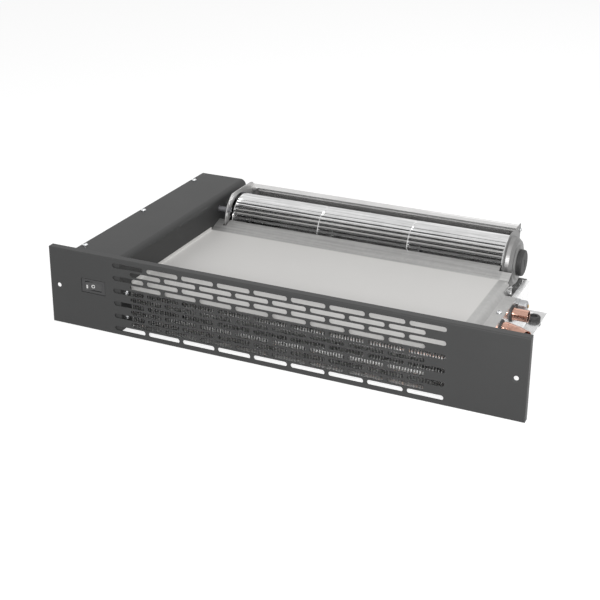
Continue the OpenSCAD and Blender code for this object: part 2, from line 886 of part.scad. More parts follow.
module coil_cover() color("#cbcac7") {
    right = wall_right;
    difference() {
        union() {
            difference() {
                run_y(coil_front + lip_r, rise_y - lip_r) sheet(eased([
                    [box_r, plate_z + upstand_h], [box_r, plate_low], [plate_bend_x, plate_low],
                    [plate_step_x, wall_top_z], [right, wall_top_z]
                ], [lip_r, plate_bend_r, lip_r]), plate_t);
                slab(
                    plate_step_x - lip_r, right + over, front + notch_setback, rise_y + over,
                    wall_top_z - over, plate_z + over
                );
            }
            run_x(box_r, plate_bend_x) sheet(eased([
                [coil_front, lip_z], [coil_front, plate_z], [coil_front + coil_setback / 2, plate_z]
            ], lip_r), -plate_t);
            run_x(box_r, rise_right_x) sheet(eased([
                [rise_y - 2 * lip_r, plate_low], [rise_y, plate_low], rise_mid, rise_end
            ], 2 * lip_r), plate_t);
        }
        slab(
            plate_right_x - bell_room, rise_right_x + over, rise_mid[0], rise_end[0] + plate_t,
            plate_low, plate_z + 2 * rise_end_h
        );
        slab(
            plate_left_x - fan_t - bell_room, plate_left_x + bell_room,
            fan_y - left_plate_r - bell_room, rise_end[0] + plate_t,
            plate_low - over, plate_z + 2 * rise_end_h
        );
        for (y = plate_screws_y)
            rod_z(wall_top_z - over, wall_top_z + plate_t + over, plate_screw_x, y, screw_hole_d);
    }
}

module coil_cover_screws() color("#d9d9d6") {
    for (y = plate_screws_y)
        translate([plate_screw_x, y, wall_top_z + plate_t]) rotate([0, 0, y]) screw();
}

// Places of the coil tubes, as y and z
function tube_places() = [
    for (r = [0:tube_rows - 1])
        for (z = [tube_low_z, tube_high_z]) [coil_front + tube_pitch * (r + 0.5), z]
];

module tube_holes() {
    for (p = tube_places()) translate(p) circle(d = tube_hole_d, $fn = 24);
}

module coil_fins() color("#8e9092") {
    for (i = [0:fin_count - 1])
        run_x(fin_x0 + i * fin_pitch, fin_x0 + i * fin_pitch + fin_t) difference() {
            translate([coil_front, fin_z0]) square([coil_d, fin_h]);
            tube_holes();
        }
}

// Coil end plate from x0, whose front top corner clears the cover's lip
module tube_sheet(x0, depth) {
    run_x(x0, x0 + end_t) difference() {
        polygon([
            [coil_front, base_top], [coil_front + depth, base_top], [coil_front + depth, plate_low],
            [coil_front + end_nose, plate_low], [coil_front, lip_z - plate_t - part_gap]
        ]);
        tube_holes();
    }
}

// The left sheet's foot lip stands behind the coil, the right one's beside it
left_lip_screw = [left_sheet_x + end_lip / 2 + end_t, coil_back + end_lip / 2];
right_lip_x = right_sheet_x + end_lip / 2 + end_t;
end_lip_screws = [
    left_lip_screw, [right_lip_x, coil_front + end_screw_in], [right_lip_x, coil_back - end_screw_in]
];

module end_lip_holes() {
    for (p = end_lip_screws) rod_z(base_top - over, base_top + end_t + over, p[0], p[1], screw_hole_d);
}

module tube_sheet_left() color("#b4b6b7") difference() {
    union() {
        tube_sheet(left_sheet_x, coil_d + end_lip);
        slab(
            left_sheet_x, left_sheet_x + end_lip + end_t, coil_back + part_gap, coil_back + end_lip,
            base_top, base_top + end_t
        );
    }
    end_lip_holes();
}

module tube_sheet_right() color("#b4b6b7") difference() {
    union() {
        tube_sheet(right_sheet_x, coil_d);
        slab(
            right_sheet_x, right_sheet_x + end_lip + end_t, coil_front, coil_back,
            base_top, base_top + end_t
        );
    }
    end_lip_holes();
}

tube_x1 = right_sheet_x + end_t + tube_out;
function row_y(r) = coil_front + tube_pitch * (r + 0.5);

// Hairpin tube between two rows on one level
module hairpin(r, z) {
    x0 = left_sheet_x - hairpin_reach;
    for (k = [0, 1]) run_x(x0, tube_x1) translate([row_y(r + k), z]) ring(tube_d, tube_wall);
    translate([x0, row_y(r) + bend_r, z]) rotate([0, 0, 90])
        rotate_extrude(angle = 180) translate([bend_r, 0]) ring(tube_d, tube_wall);
}

module coil_hairpins() color("#c07a58") {
    for (r = [0, 2]) for (z = [tube_low_z, tube_high_z]) hairpin(r, z);
}

// U-bend at the right end, between places a and b
module return_bend(a, b) {
    mid = (a + b) / 2;
    turn = atan2(b[1] - a[1], b[0] - a[0]);
    translate([tube_x1, mid[0], mid[1]]) rotate([turn, 0, 0]) rotate([0, 0, -90])
        rotate_extrude(angle = 180) translate([bend_r, 0]) ring(tube_d, tube_wall);
}

module return_bends() color("#c07a58") {
    for (z = [tube_low_z, tube_high_z]) return_bend([row_y(1), z], [row_y(2), z]);
    return_bend([row_y(0), tube_low_z], [row_y(0), tube_high_z]);
}

// Neck that leaves the last coil tube and turns to the back, then widens
module tail_neck(z) {
    pipe([[tube_x1, row_y(3), z], [tail_run_x, row_y(3), z], [tail_run_x, neck_y, z]],
        tube_d, tube_wall, tail_neck_r - part_gap);
    translate([tail_run_x, neck_y, z]) rotate([-90, 0, 0]) difference() {
        cylinder(h = tail_cone_l, d1 = tube_d, d2 = tail_d);
        cylinder(h = tail_cone_l, d1 = tube_d - 2 * tube_wall, d2 = tail_d - 2 * tail_wall);
    }
}

// The flow tail passes under the return tail and rises into a closed header,
// which feeds the outlet and the small branch of the air vent
riser_y = return_y + tail_d + riser_gap;
header_y0 = riser_y + tail_bend_r;
header_y1 = flow_y + header_d / 2 + header_over;

module flow_tail() color("#d08a68") {
    y0 = neck_y + tail_cone_l;
    tail_neck(tube_low_z);
    pipe([
        [tail_run_x, y0, tube_low_z], [tail_run_x, riser_y, tube_low_z],
        [tail_run_x, riser_y, tail_z], [tail_run_x, header_y0, tail_z]
    ], tail_d, tail_wall, tail_bend_r - part_gap);
    difference() {
        union() {
            rod_y(header_y0, header_y1, tail_run_x, tail_z, header_d);
            rod_x(tail_run_x, wall_right + tail_out, flow_y, tail_z, tail_d);
            rod_x(bead_x, bead_x + bead_w, flow_y, tail_z, tail_d + 2 * bead_h);
        }
        rod_y(header_y0 - over, header_y1 - tail_wall, tail_run_x, tail_z, tail_d - 2 * tail_wall);
        rod_x(tail_run_x, wall_right + tail_out + over, flow_y, tail_z, tail_d - 2 * tail_wall);
    }
    pipe([
        [tail_run_x, header_y1, branch_z], [tail_run_x, vent_y, branch_z],
        [wall_right + vent_hex_l, vent_y, branch_z]
    ], branch_d, 0, branch_r);
}

// The return tail turns towards the front outside the wall, into a socket
module return_tail() color("#d08a68") {
    y0 = neck_y + tail_cone_l;
    leg = return_leg - return_bend_r * tan(return_turn / 2);
    tail_neck(tube_high_z);
    pipe([
        [tail_run_x, y0, tail_z], [tail_run_x, return_y, tail_z],
        [wall_right + leg, return_y, tail_z]
    ], tail_d, tail_wall, tail_bend_r - part_gap);
    run_x(wall_right + leg - sleeve_l, wall_right + leg + sleeve_l / 2) translate([return_y, tail_z])
        ring(socket_d, sleeve_wall);
    translate([wall_right + leg, return_y - return_bend_r, tail_z]) rotate([0, 0, 90 - return_turn]) {
        rotate_extrude(angle = return_turn) translate([return_bend_r, 0]) ring(tail_d, tail_wall);
        run_y(-leg, 0) translate([return_bend_r, 0]) ring(tail_d, tail_wall);
        run_y(-leg - socket_lap, socket_lap - leg) translate([return_bend_r, 0])
            ring(socket_d, sleeve_wall);
        run_y(-leg - return_socket_l, -leg) translate([return_bend_r, 0]) ring(socket_d, socket_wall);
    }
}

module pipe_grommets() color("#2b2b2a") {
    for (y = [flow_y, return_y]) translate([wall_in - grommet_in_t, y, tail_z]) rotate([0, 90, 0])
        rotate_extrude() polygon([
            [tail_d / 2 + running_gap, 0], [grommet_in_d / 2, 0], [grommet_in_d / 2, grommet_in_t],
            [grommet_hole_d / 2 - running_gap, grommet_in_t],
            [grommet_hole_d / 2 - running_gap, grommet_in_t + sheet_t],
            [grommet_rim_d / 2, grommet_in_t + sheet_t],
            [grommet_rim_d / 2 - grommet_bevel, grommet_in_t + sheet_t + grommet_rim_t],
            [tail_d / 2 + running_gap, grommet_in_t + sheet_t + grommet_rim_t]
        ]);
}

module vent_body() color("#a9aaab") {
    translate([wall_right, vent_y, branch_z]) rotate([0, 90, 0]) difference() {
        union() {
            cylinder(h = vent_hex_l, d = vent_hex_w / cos(30), $fn = 6);
            rotate_extrude() polygon([
                [0, 0], [vent_d / 2, 0], [vent_d / 2, vent_l - vent_round],
                [vent_d / 2 - vent_round * round_share, vent_l - vent_round * round_share],
                [vent_d / 2 - vent_round, vent_l], [0, vent_l]
            ]);
        }
        translate([0, 0, -over])
            cylinder(h = vent_hex_l + over + running_gap, d = branch_d + 2 * running_gap);
        translate([0, 0, vent_l - vent_screw_l])
            cylinder(h = vent_screw_l + over, d = vent_screw_d + 2 * running_gap);
    }
}

module vent_screw() color("#c9b063") {
    x0 = wall_right + vent_l - vent_screw_l + running_gap;
    x1 = wall_right + vent_l + vent_screw_proud;
    rod_x(x0, wall_right + vent_l - vent_round, vent_y, branch_z, vent_screw_d);
    slab(
        wall_right + vent_l - vent_round, x1, vent_y - vent_square / 2, vent_y + vent_square / 2,
        branch_z - vent_square / 2, branch_z + vent_square / 2
    );
}

stat_x1 = tail_run_x - tail_d / 2 - running_gap;
stat_x0 = stat_x1 - stat_l;

module pipe_thermostat() color("#3c3a38") {
    rod_x(stat_x0, stat_x1, stat_y, tail_z, stat_d);
    rod_x(stat_x0 - stat_boss_l, stat_x0, stat_y, tail_z, stat_boss_d);
}

// Spring clip that wraps the tail and hooks behind the thermostat
module thermostat_clip() color("#9fa1a3") {
    in_r = tail_d / 2 + running_gap;
    out_r = in_r + clip_t;
    reach = tail_run_x - stat_x0 + clip_t;
    hook_gap = stat_boss_d + 2 * part_gap;
    run_y(stat_y - clip_w / 2, stat_y + clip_w / 2) translate([tail_run_x, tail_z]) difference() {
        union() {
            circle(out_r);
            translate([-reach, -out_r]) square([reach, 2 * out_r]);
        }
        circle(in_r);
        translate([clip_t - reach, -in_r]) square([reach - clip_t, 2 * in_r]);
        translate([-reach - over, -hook_gap / 2]) square([clip_t + 2 * over, hook_gap]);
    }
}

// The lead lies on the base, enters the box and ends at the last terminal
module thermostat_lead() color("#3a3a3c") {
    x1 = stat_x0 - stat_boss_l;
    low_z = base_top + lead_d / 2;
    wire([
        [x1, stat_y, tail_z], [x1 - wire_stub, stat_y, tail_z], [x1 - wire_far, lead_y, low_z],
        [box_r + wire_far, lead_y, low_z], [box_r + wire_stub, lead_y, lead_hole_z],
        [pole_x(3) + wire_in, lead_y, lead_hole_z], [pole_x(3), block_y - wire_drop, block_wire_z],
        [pole_x(3), block_y + wire_in, block_wire_z]
    ], lead_d);
}

// Fan drawings, as y and z from the fan axis
module at_fan_2d() translate([fan_y, fan_z]) children();

scroll_path = [
    for (i = [0:scroll_steps])
        let (a = scroll_from + (scroll_to - scroll_from) * i / scroll_steps)
        let (r = scroll_low_r + (scroll_high_r - scroll_low_r) * (1 - i / scroll_steps))
        [fan_y + r * cos(a), fan_z + r * sin(a)]
];

module fan_scroll() color("#a8aaac") {
    top = scroll_path[0];
    run_x(plate_left_x, plate_right_x) sheet(concat(
        eased([
            top + [rail_w, rail_rise - rail_drop], top + [rail_w, rail_rise], top + [0, rail_rise],
            scroll_path[2]
        ], [rail_back_r, rail_front_r]),
        [for (i = [3:scroll_steps]) scroll_path[i]],
        [
            [fan_y - scroll_ramp_d, fan_z - scroll_low_r - scroll_ramp_h],
            [fan_y - scroll_foot_d, base_top + fan_t],
            [fan_y - scroll_toe_d, base_top + fan_t]
        ]
    ), fan_t);
}

// Hidden lip welded under the back edge of the cover plate, close to the impeller
module fan_tongue() color("#a8aaac") {
    along = unit(rise_end - rise_mid);
    bend = rise_end - along * tongue_in;
    run_x(plate_left_x + bell_room, plate_right_x - bell_room) sheet(eased([
        bend - along * (tongue_lap - tongue_in), bend, bend + [tongue_in / 2, -tongue_h / 2],
        bend + [0, -tongue_h]
    ], fan_t), -fan_t / 2);
}

// Outline of the left end plate: ring, raised tab at the back and a foot
tab_base_shares = [[0, 0.5], [0.2, 0.86]];
tab_drop = 2;

module left_plate_2d() {
    intersection() {
        union() {
            at_fan_2d() circle(left_plate_r);
            polygon([
                for (s = tab_base_shares) [fan_y, fan_z] + s * left_plate_r,
                [back - tab_back_gap - tab_round, tab_top_z], [back - tab_round, tab_top_z - tab_drop],
                [back, tab_top_z - 2 * tab_round], [back, fan_z]
            ]);
            polygon([
                [fan_y - plate_foot_w, fan_z], [fan_y - plate_foot_w + plate_foot_grow, base_top],
                [fan_y + plate_foot_w - plate_foot_grow, base_top], [fan_y + plate_foot_w, fan_z]
            ]);
        }
        translate([front, base_top]) square([unit_d, tab_top_z - base_top]);
    }
}

function pillar_places() = [
    for (a = pillar_angles)
        [fan_y + pillar_r * cos(a), fan_z + pillar_r * sin(a)]
];

function fan_foot_screws() = [
    for (x = [plate_left_x - foot_lip_w / 2 - fan_t / 2, plate_right_x + fan_t + foot_lip_w / 2])
        for (y = [fan_y - foot_screw_y, fan_y + foot_screw_y]) [x, y]
];

module fan_plate_left() color("#aeb0b1") {
    difference() {
        union() {
            run_x(plate_left_x - fan_t, plate_left_x) difference() {
                left_plate_2d();
                at_fan_2d() circle(left_hole_r);
                for (p = pillar_places()) translate(p) circle(d = pillar_screw_d + 2 * screw_room);
            }
            slab(
                plate_left_x - foot_lip_w, plate_left_x, fan_y - plate_foot_w + plate_foot_grow,
                fan_y + plate_foot_w - plate_foot_grow, base_top, base_top + fan_t
            );
        }
        for (s = fan_foot_screws())
            rod_z(base_top - over, base_top + fan_t + over, s[0], s[1], screw_hole_d);
    }
}

// Outline of the right end plate: round, with a pointed ear and a foot
ear_y = back - apex_gap;
ear_z = apex_z - 3 * apex_r;
ear_front_shares = [[0, 0.7], [0.35, 0.93]];
ear_tip_shares = [[-0.8, -0.3], [0, 0], [0.8, -0.5]];
ear_back_shares = [[0.98, 0.3], [0, 0]];
foot_top_share = 0.8;

module right_plate_2d() {
    intersection() {
        union() {
            at_fan_2d() circle(right_plate_r);
            polygon([
                for (s = ear_front_shares) [fan_y, fan_z] + s * right_plate_r,
                for (s = ear_tip_shares) [ear_y, apex_z] + s * apex_r,
                for (s = ear_back_shares) [fan_y, fan_z] + s * right_plate_r
            ]);
            polygon([
                [fan_y - right_plate_r * foot_top_share, fan_z - right_plate_r / 2],
                [fan_y - plate_foot_w / 2, base_top], [fan_y + plate_foot_w / 2, base_top],
                [fan_y + right_plate_r * foot_top_share, fan_z - right_plate_r / 2]
            ]);
        }
        translate([front, base_top]) square([unit_d, panel_h - base_top]);
    }
}

module fan_plate_right() color("#b8babb") {
    difference() {
        union() {
            run_x(plate_right_x, plate_right_x + fan_t) difference() {
                right_plate_2d();
                at_fan_2d() circle(bell_r - fan_t / 2);
                translate([ear_y, ear_z]) circle(d = ear_hole_d);
            }
            translate([plate_right_x, fan_y, fan_z]) rotate([0, 90, 0]) rotate_extrude()
                sheet([for (s = bell_shares) [s[0] * bell_r, s[1] * bell_h]], -fan_t);
            slab(
                plate_right_x, plate_right_x + fan_t + foot_lip_w, fan_y - plate_foot_w / 2,
                fan_y + plate_foot_w / 2, base_top, base_top + fan_t
            );
        }
        for (s = fan_foot_screws())
            rod_z(base_top - over, base_top + fan_t + over, s[0], s[1], screw_hole_d);
    }
}

module fan_screws() color("#d9d9d6") {
    for (s = fan_foot_screws()) translate([s[0], s[1], base_top + fan_t]) screw(base_z);
    for (s = end_lip_screws) translate([s[0], s[1], base_top + end_t]) screw(base_z);
    translate([plate_right_x + fan_t, ear_y, ear_z]) rotate([0, 90, 0]) scale(ear_screw_share) screw(fan_t);
}

module blade_2d() {
    intersection() {
        translate([blade_in_r, blade_arc_r]) difference() {
            circle(blade_arc_r + blade_t / 2);
            circle(blade_arc_r - blade_t / 2);
        }
        translate([blade_in_r, -blade_t]) square([impeller_r, blade_reach + blade_t]);
    }
}

// The blades lean forwards, as their front edges climb past the tongue
module impeller_blades() color("#c4c4c2") {
    for (k = [0:2]) {
        x0 = impeller_x0 + k * section_l + disc_t / 2;
        for (i = [0:blades - 1])
            run_x(x0, x0 + section_l - disc_t)
                at_fan_2d() rotate(i * 360 / blades) mirror([0, 1]) blade_2d();
    }
}

module impeller_discs() color("#cfcfcd") {
    for (k = [0:3]) {
        x = impeller_x0 + k * section_l;
        hole = k == 0 ? coupling_d / 2 : ring_in_r;
        run_x(x - disc_t / 2, x + disc_t / 2) at_fan_2d() difference() {
            circle(impeller_r);
            if (k < 3) circle(hole);
            if (k == 3) circle(d = shaft_d);
        }
    }
    x3 = impeller_x0 + 3 * section_l + disc_t / 2;
    run_x(x3, x3 + hub_l) at_fan_2d() difference() {
        circle(d = hub_d);
        circle(d = shaft_d);
    }
}

mount_x = plate_right_x + bell_h + fan_t;
bush_x1 = mount_x + mount_block_l - mount_cap;

module stub_shaft() color("#a0a2a4") {
    x3 = impeller_x0 + 3 * section_l;
    rod_x(x3 - disc_t / 2, bush_x1 - fan_t / 2, fan_y, fan_z, shaft_d);
}

module bearing_bush() color("#b59a5c") {
    run_x(bush_x1 - bush_l, bush_x1) at_fan_2d() difference() {
        circle(d = bush_d);
        circle(d = shaft_d + 2 * running_gap);
    }
}

module bearing_mount() color("#3a3939") {
    hole_r = mount_hole_r - running_gap;
    x0 = -fan_t - mount_flange_l;
    difference() {
        translate([mount_x, fan_y, fan_z]) rotate([0, 90, 0]) rotate_extrude() polygon([
            [bush_d / 2, x0], [mount_flange_d / 2, x0], [mount_flange_d / 2, -fan_t],
            [hole_r, -fan_t], [hole_r, 0], [mount_block_d / 2, 0],
            [mount_block_d / 2, mount_block_l - mount_block_r],
            [mount_block_d / 2 - mount_block_r * round_share, mount_block_l - mount_block_r * round_share],
            [mount_block_d / 2 - mount_block_r, mount_block_l], [0, mount_block_l],
            [0, mount_block_l - mount_cap], [bush_d / 2, mount_block_l - mount_cap]
        ]);
        translate([mount_x + mount_block_l, fan_y, fan_z])
            cube([2 * mount_slot_h, mount_slot_w, mount_slot_l], center = true);
    }
}

// Rubber coupling in the left disc, which carries the end of the motor shaft
module shaft_coupling() color("#33332f") {
    x1 = impeller_x0 + disc_t / 2;
    run_x(impeller_x0 - disc_t / 2, x1) at_fan_2d() ring(coupling_d, (coupling_d - shaft_d) / 2);
    run_x(x1, x1 + coupling_flange_t) at_fan_2d()
        ring(coupling_flange_d, (coupling_flange_d - shaft_d) / 2);
    run_x(impeller_x0 - disc_t / 2 - coupling_l, impeller_x0 - disc_t / 2) at_fan_2d()
        ring(coupling_flange_d, (coupling_flange_d - shaft_d) / 2);
}

module drive_shaft() color("#a0a2a4") {
    rod_x(rear_bracket_x + bracket_t - dome_l - shaft_tail, impeller_x0 + disc_t, fan_y, fan_z, shaft_d);
}

module motor_rotor() color("#8a8c8e") {
    run_x(stack_x0 - rotor_over, stack_x1 + rotor_over) at_fan_2d() difference() {
        circle(d = rotor_d);
        circle(d = shaft_d);
    }
}

module motor_stator() color("#6f7274") {
    run_x(stack_x0, stack_x1) at_fan_2d() difference() {
        translate([-stack_w / 2, -stack_down]) square([stack_w, stack_up + stack_down]);
        circle(d = rotor_d + 2 * rotor_gap);
        translate([-window_w / 2, -stack_down + leg_h]) square([window_w, window_h]);
        for (s = [-1, 1]) translate([s * motor_screw_y, 0]) circle(d = motor_screw_d + 2 * screw_room);
    }
}

coil_w = window_w - 2 * part_gap;
sleeve_z0 = fan_z - stack_down;
sleeve_z1 = sleeve_z0 + leg_h;
rim_over = 1.8;
rim_h = winding_h + rim_over;

// Box round the stack's lower leg, grown by g on each side, between two y places
module leg_box(g, y0, y1) {
    slab(stack_x0 - g, stack_x1 + g, y0, y1, sleeve_z0 - g, sleeve_z1 + g);
}

module motor_bobbin() color("#e7e3d6") {
    difference() {
        union() {
            leg_box(bobbin_t + part_gap / 2, fan_y - coil_w / 2, fan_y + coil_w / 2);
            for (s = [0, 1]) {
                y = fan_y - coil_w / 2 + s * (coil_w - bobbin_rim);
                leg_box(rim_h, y, y + bobbin_rim);
            }
        }
        leg_box(part_gap / 2, fan_y - coil_w, fan_y + coil_w);
    }
}

module motor_winding() color("#b5713c") {
    y0 = fan_y - coil_w / 2 + bobbin_rim;
    y1 = fan_y + coil_w / 2 - bobbin_rim;
    difference() {
        leg_box(winding_h, y0, y1);
        leg_box(bobbin_t + part_gap / 2, y0 - over, y1 + over);
    }
}

// Motor bearing bracket: plate, two bosses against the stack and a bearing dome
module bracket(x0, boss_x0, boss_x1, dome_x0) {
    run_x(x0, x0 + bracket_t) at_fan_2d() difference() {
        union() {
            square([2 * motor_screw_y, bracket_arm_w], center = true);
            for (s = [-1, 1]) translate([s * motor_screw_y, 0]) circle(d = bracket_arm_w);
            if (x0 > stack_x0) for (a = pillar_angles) rotate(a) {
                translate([0, -bracket_arm_w / 2]) square([pillar_r, bracket_arm_w]);
                translate([pillar_r, 0]) circle(d = bracket_arm_w);
            }
        }
        circle(d = bearing_d);
        for (s = [-1, 1]) translate([s * motor_screw_y, 0]) circle(d = motor_screw_d + 2 * screw_room);
        if (x0 > stack_x0) for (a = pillar_angles) rotate(a) translate([pillar_r, 0])
            circle(d = pillar_screw_d + 2 * screw_room);
    }
    run_x(boss_x0, boss_x1) at_fan_2d() for (s = [-1, 1]) translate([s * motor_screw_y, 0])
        ring(boss_d, (boss_d - motor_screw_d) / 2 - screw_room);
    run_x(dome_x0, dome_x0 + dome_l - bracket_t) at_fan_2d() ring(dome_d, (dome_d - bearing_d) / 2);
}

front_bracket_x = stack_x1 + bracket_gap;
rear_bracket_x = stack_x0 - bracket_gap - bracket_t;

module motor_brackets() color("#9c9fa1") {
    bracket(front_bracket_x, stack_x1, front_bracket_x, front_bracket_x + bracket_t);
    bracket(rear_bracket_x, rear_bracket_x + bracket_t, stack_x0, rear_bracket_x + bracket_t - dome_l);
}

module motor_bearings() color("#b59a5c") {
    for (x = [front_bracket_x, rear_bracket_x + bracket_t - dome_l])
        run_x(x + rotor_over, x + dome_l - rotor_over) at_fan_2d() difference() {
            circle(d = bearing_d);
            circle(d = shaft_d + 2 * running_gap);
        }
}

module motor_screws() color("#c8c8c4") {
    for (s = [-1, 1]) {
        y = fan_y + s * motor_screw_y;
        rod_x(rear_bracket_x - nut_h, front_bracket_x + bracket_t, y, fan_z, motor_screw_d);
        rod_x(front_bracket_x + bracket_t, front_bracket_x + bracket_t + head_h, y, fan_z, head_d);
        translate([rear_bracket_x - nut_h, y, fan_z]) rotate([0, 90, 0])
            cylinder(h = nut_h, d = nut_w / cos(30), $fn = 6);
    }
}

// Spacers that carry the motor on the fan's left end plate, with their screws
module motor_pillars() color("#c8c8c4") {
    x0 = front_bracket_x + bracket_t;
    x1 = plate_left_x - fan_t;
    for (p = pillar_places()) {
        rod_x(x0, x1, p[0], p[1], pillar_d);
        rod_x(x0 - bracket_t - nut_h, x1 + fan_t + head_h, p[0], p[1], pillar_screw_d);
        rod_x(x1 + fan_t, x1 + fan_t + head_h, p[0], p[1], head_d);
        translate([x0 - bracket_t - nut_h, p[0], p[1]]) rotate([0, 90, 0])
            cylinder(h = nut_h, d = nut_w / cos(30), $fn = 6);
    }
}

module switch_body() color("#262626") {
    y_face = front + bezel_setback;
    difference() {
        union() {
            slab(
                switch_x - bezel_w / 2, switch_x + bezel_w / 2, y_face, tray_y0,
                switch_z - bezel_h / 2, switch_z + bezel_h / 2
            );
            slab(
                switch_x - body_w / 2, switch_x + body_w / 2, tray_y0 - over / 2, tray_y0 + body_d,
                switch_z - body_h / 2, switch_z + body_h / 2
            );
        }
        slab(
            switch_x - rocker_recess_w / 2, switch_x + rocker_recess_w / 2, front - over,
            tray_y0 + body_d - body_wall,
            switch_z - rocker_h / 2 - rocker_gap, switch_z + rocker_h / 2 + rocker_gap
        );
        rod_z(
            switch_z - body_h / 2 + body_wall / 3, switch_z + body_h / 2 - body_wall / 3,
            switch_x, rocker_y, rocker_pivot_d + 2 * running_gap
        );
    }
}

// Rocker with a shallow V face, side skirts, a leg and two pivot pins, tipped to its right
module rocker() color("#3d3d3d") {
    half = rocker_w / 2;
    leg = rocker_leg_w / 2;
    face = -rocker_pivot_setback;
    pin_l = rocker_h + 2 * (rocker_gap + rocker_pin_l);
    translate([switch_x, rocker_y, switch_z]) rotate([0, 0, rocker_tilt]) {
        translate([0, 0, -rocker_h / 2]) linear_extrude(rocker_h) polygon([
            [-half, face], [0, face + rocker_rise], [half, face], [half - rocker_taper, face + rocker_skirt],
            [leg, face + rocker_skirt + rocker_belly], [leg, rocker_pivot_d],
            [-leg, rocker_pivot_d], [-leg, face + rocker_skirt + rocker_belly],
            [rocker_taper - half, face + rocker_skirt]
        ]);
        cylinder(h = pin_l, d = rocker_pivot_d, center = true);
    }
}

module switch_terminals() color("#cdb36a") {
    y0 = tray_y0 + body_d;
    for (i = [0:tab_count - 1]) {
        x = switch_x + (i - (tab_count - 1) / 2) * tab_pitch;
        slab(x - tab_t / 2, x + tab_t / 2, y0, y0 + tab_l, switch_z - tab_w / 2, switch_z + tab_w / 2);
    }
}

function pole_x(i) = block_x + block_w * (i + 0.5) / block_poles;

module terminal_block() color("#d8d4c6") {
    difference() {
        slab(block_x, block_x + block_w, block_y, block_y + block_d, base_top, base_top + block_h);
        for (i = [0:block_poles - 1]) {
            rod_y(block_y - over, block_y + block_d + over, pole_x(i), block_wire_z, block_wire_d);
            for (s = block_screw_shares) rod_z(
                base_top + block_h - block_screw_l, base_top + block_h + over,
                pole_x(i), block_y + block_d * s, block_screw_d
            );
        }
        for (i = [1:block_poles - 1]) slab(
            block_x + block_w * i / block_poles - block_groove_w / 2,
            block_x + block_w * i / block_poles + block_groove_w / 2,
            block_y - over, block_y + block_d + over,
            base_top + block_h - block_groove_h, base_top + block_h + over
        );
    }
}

module terminal_screws() color("#cdb36a") {
    for (i = [0:block_poles - 1]) for (s = block_screw_shares)
        translate([pole_x(i), block_y + block_d * s, base_top + block_h - block_screw_l]) difference() {
            cylinder(h = block_screw_l - block_slot_h, d = block_screw_d - 2 * running_gap);
            translate([-block_screw_d, -recess_w / 2, block_screw_l - 2 * block_slot_h])
                cube([2 * block_screw_d, recess_w, block_slot_h + over]);
        }
}

// Wires between the switch, the terminals and the motor
module switch_wires() color("#7a4a2c") {
    y0 = tray_y0 + body_d + tab_l;
    for (i = [1, 2]) {
        x = switch_x + (i - 1) * tab_pitch;
        wire([
            [x, y0, switch_z], [x, y0 + wire_stub, switch_z], [x, y0 + wire_far, switch_z - wire_drop],
            [pole_x(i), block_y - wire_far, block_wire_z], [pole_x(i), block_y + wire_in, block_wire_z]
        ], wire_d);
    }
}

module motor_wires() color("#2d4a86") {
    y_end = fan_y - coil_w / 2;
    z_end = sleeve_z0 - winding_h / 2;
    for (i = [1, 3]) {
        x_end = stack_x0 + stack_l * (i + 1) / (block_poles + 1);
        wire([
            [pole_x(i), block_y + block_d - wire_in, block_wire_z],
            [pole_x(i), block_y + block_d + wire_stub, block_wire_z],
            [x_end, y_end - wire_stub, z_end], [x_end, y_end, z_end]
        ], wire_d);
    }
}

module earth_wire() color("#6f9a3a") {
    z = base_top + nut_h + washer_t / 2;
    wire([
        [pole_x(0), block_y + wire_in, block_wire_z], [pole_x(0), block_y - wire_stub, block_wire_z],
        [earth_x, earth_y + washer_d / 2 + wire_stub, z], [earth_x, earth_y + washer_d / 2, z]
    ], wire_d);
}

module earth_stud() color("#c9b063") {
    rod_z(base_z, base_top + earth_l, earth_x, earth_y, stud_d);
    translate([earth_x, earth_y, base_top]) cylinder(h = nut_h, d = nut_w / cos(30), $fn = 6);
    translate([earth_x, earth_y, base_top + nut_h]) cylinder(h = washer_t, d = washer_d);
    translate([earth_x, earth_y, base_top + nut_h + washer_t])
        cylinder(h = nut_h, d = nut_w / cos(30), $fn = 6);
}

// Inlet gland for the mains lead, which passes through the box's left side
module cable_gland() color("#2f2f30") {
    translate([box_l, gland_y, gland_z]) rotate([0, -90, 0]) difference() {
        union() {
            cylinder(h = gland_hex_h, d = gland_hex_w / cos(30), $fn = 6);
            translate([0, 0, gland_hex_h])
                cylinder(h = gland_cap_h, d1 = gland_cap_d, d2 = gland_cap_d * gland_cap_share);
            translate([0, 0, -sheet_t - gland_thread_l])
                cylinder(h = sheet_t + gland_thread_l, d = gland_thread_d);
        }
        translate([0, 0, -sheet_t - gland_thread_l - over])
            cylinder(h = gland_hex_h + gland_cap_h + sheet_t + gland_thread_l + 2 * over, d = gland_bore_d);
    }
}

module gland_nut() color("#2f2f30") {
    translate([box_l + sheet_t, gland_y, gland_z]) rotate([0, 90, 0])
        nut(gland_nut_h, gland_hex_w, gland_thread_d);
}

front_panel();
panel_nuts();
control_tray();
control_cover();
cover_screws();
side_screws();
chassis_base();
chassis_side_wall();
chassis_screws();
rubber_feet();
coil_cover();
coil_cover_screws();
coil_fins();
coil_hairpins();
return_bends();
tube_sheet_left();
tube_sheet_right();
flow_tail();
return_tail();
pipe_grommets();
vent_body();
vent_screw();
pipe_thermostat();
thermostat_clip();
thermostat_lead();
fan_scroll();
fan_tongue();
fan_plate_left();
fan_plate_right();
fan_screws();
impeller_blades();
impeller_discs();
stub_shaft();
bearing_bush();
bearing_mount();
shaft_coupling();
drive_shaft();
motor_rotor();
motor_stator();
motor_bobbin();
motor_winding();
motor_brackets();
motor_bearings();
motor_screws();
motor_pillars();
switch_body();
rocker();
switch_terminals();
terminal_block();
terminal_screws();
switch_wires();
motor_wires();
earth_wire();
earth_stud();
cable_gland();
gland_nut();
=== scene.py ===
"""Plinth heater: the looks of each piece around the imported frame."""

import math

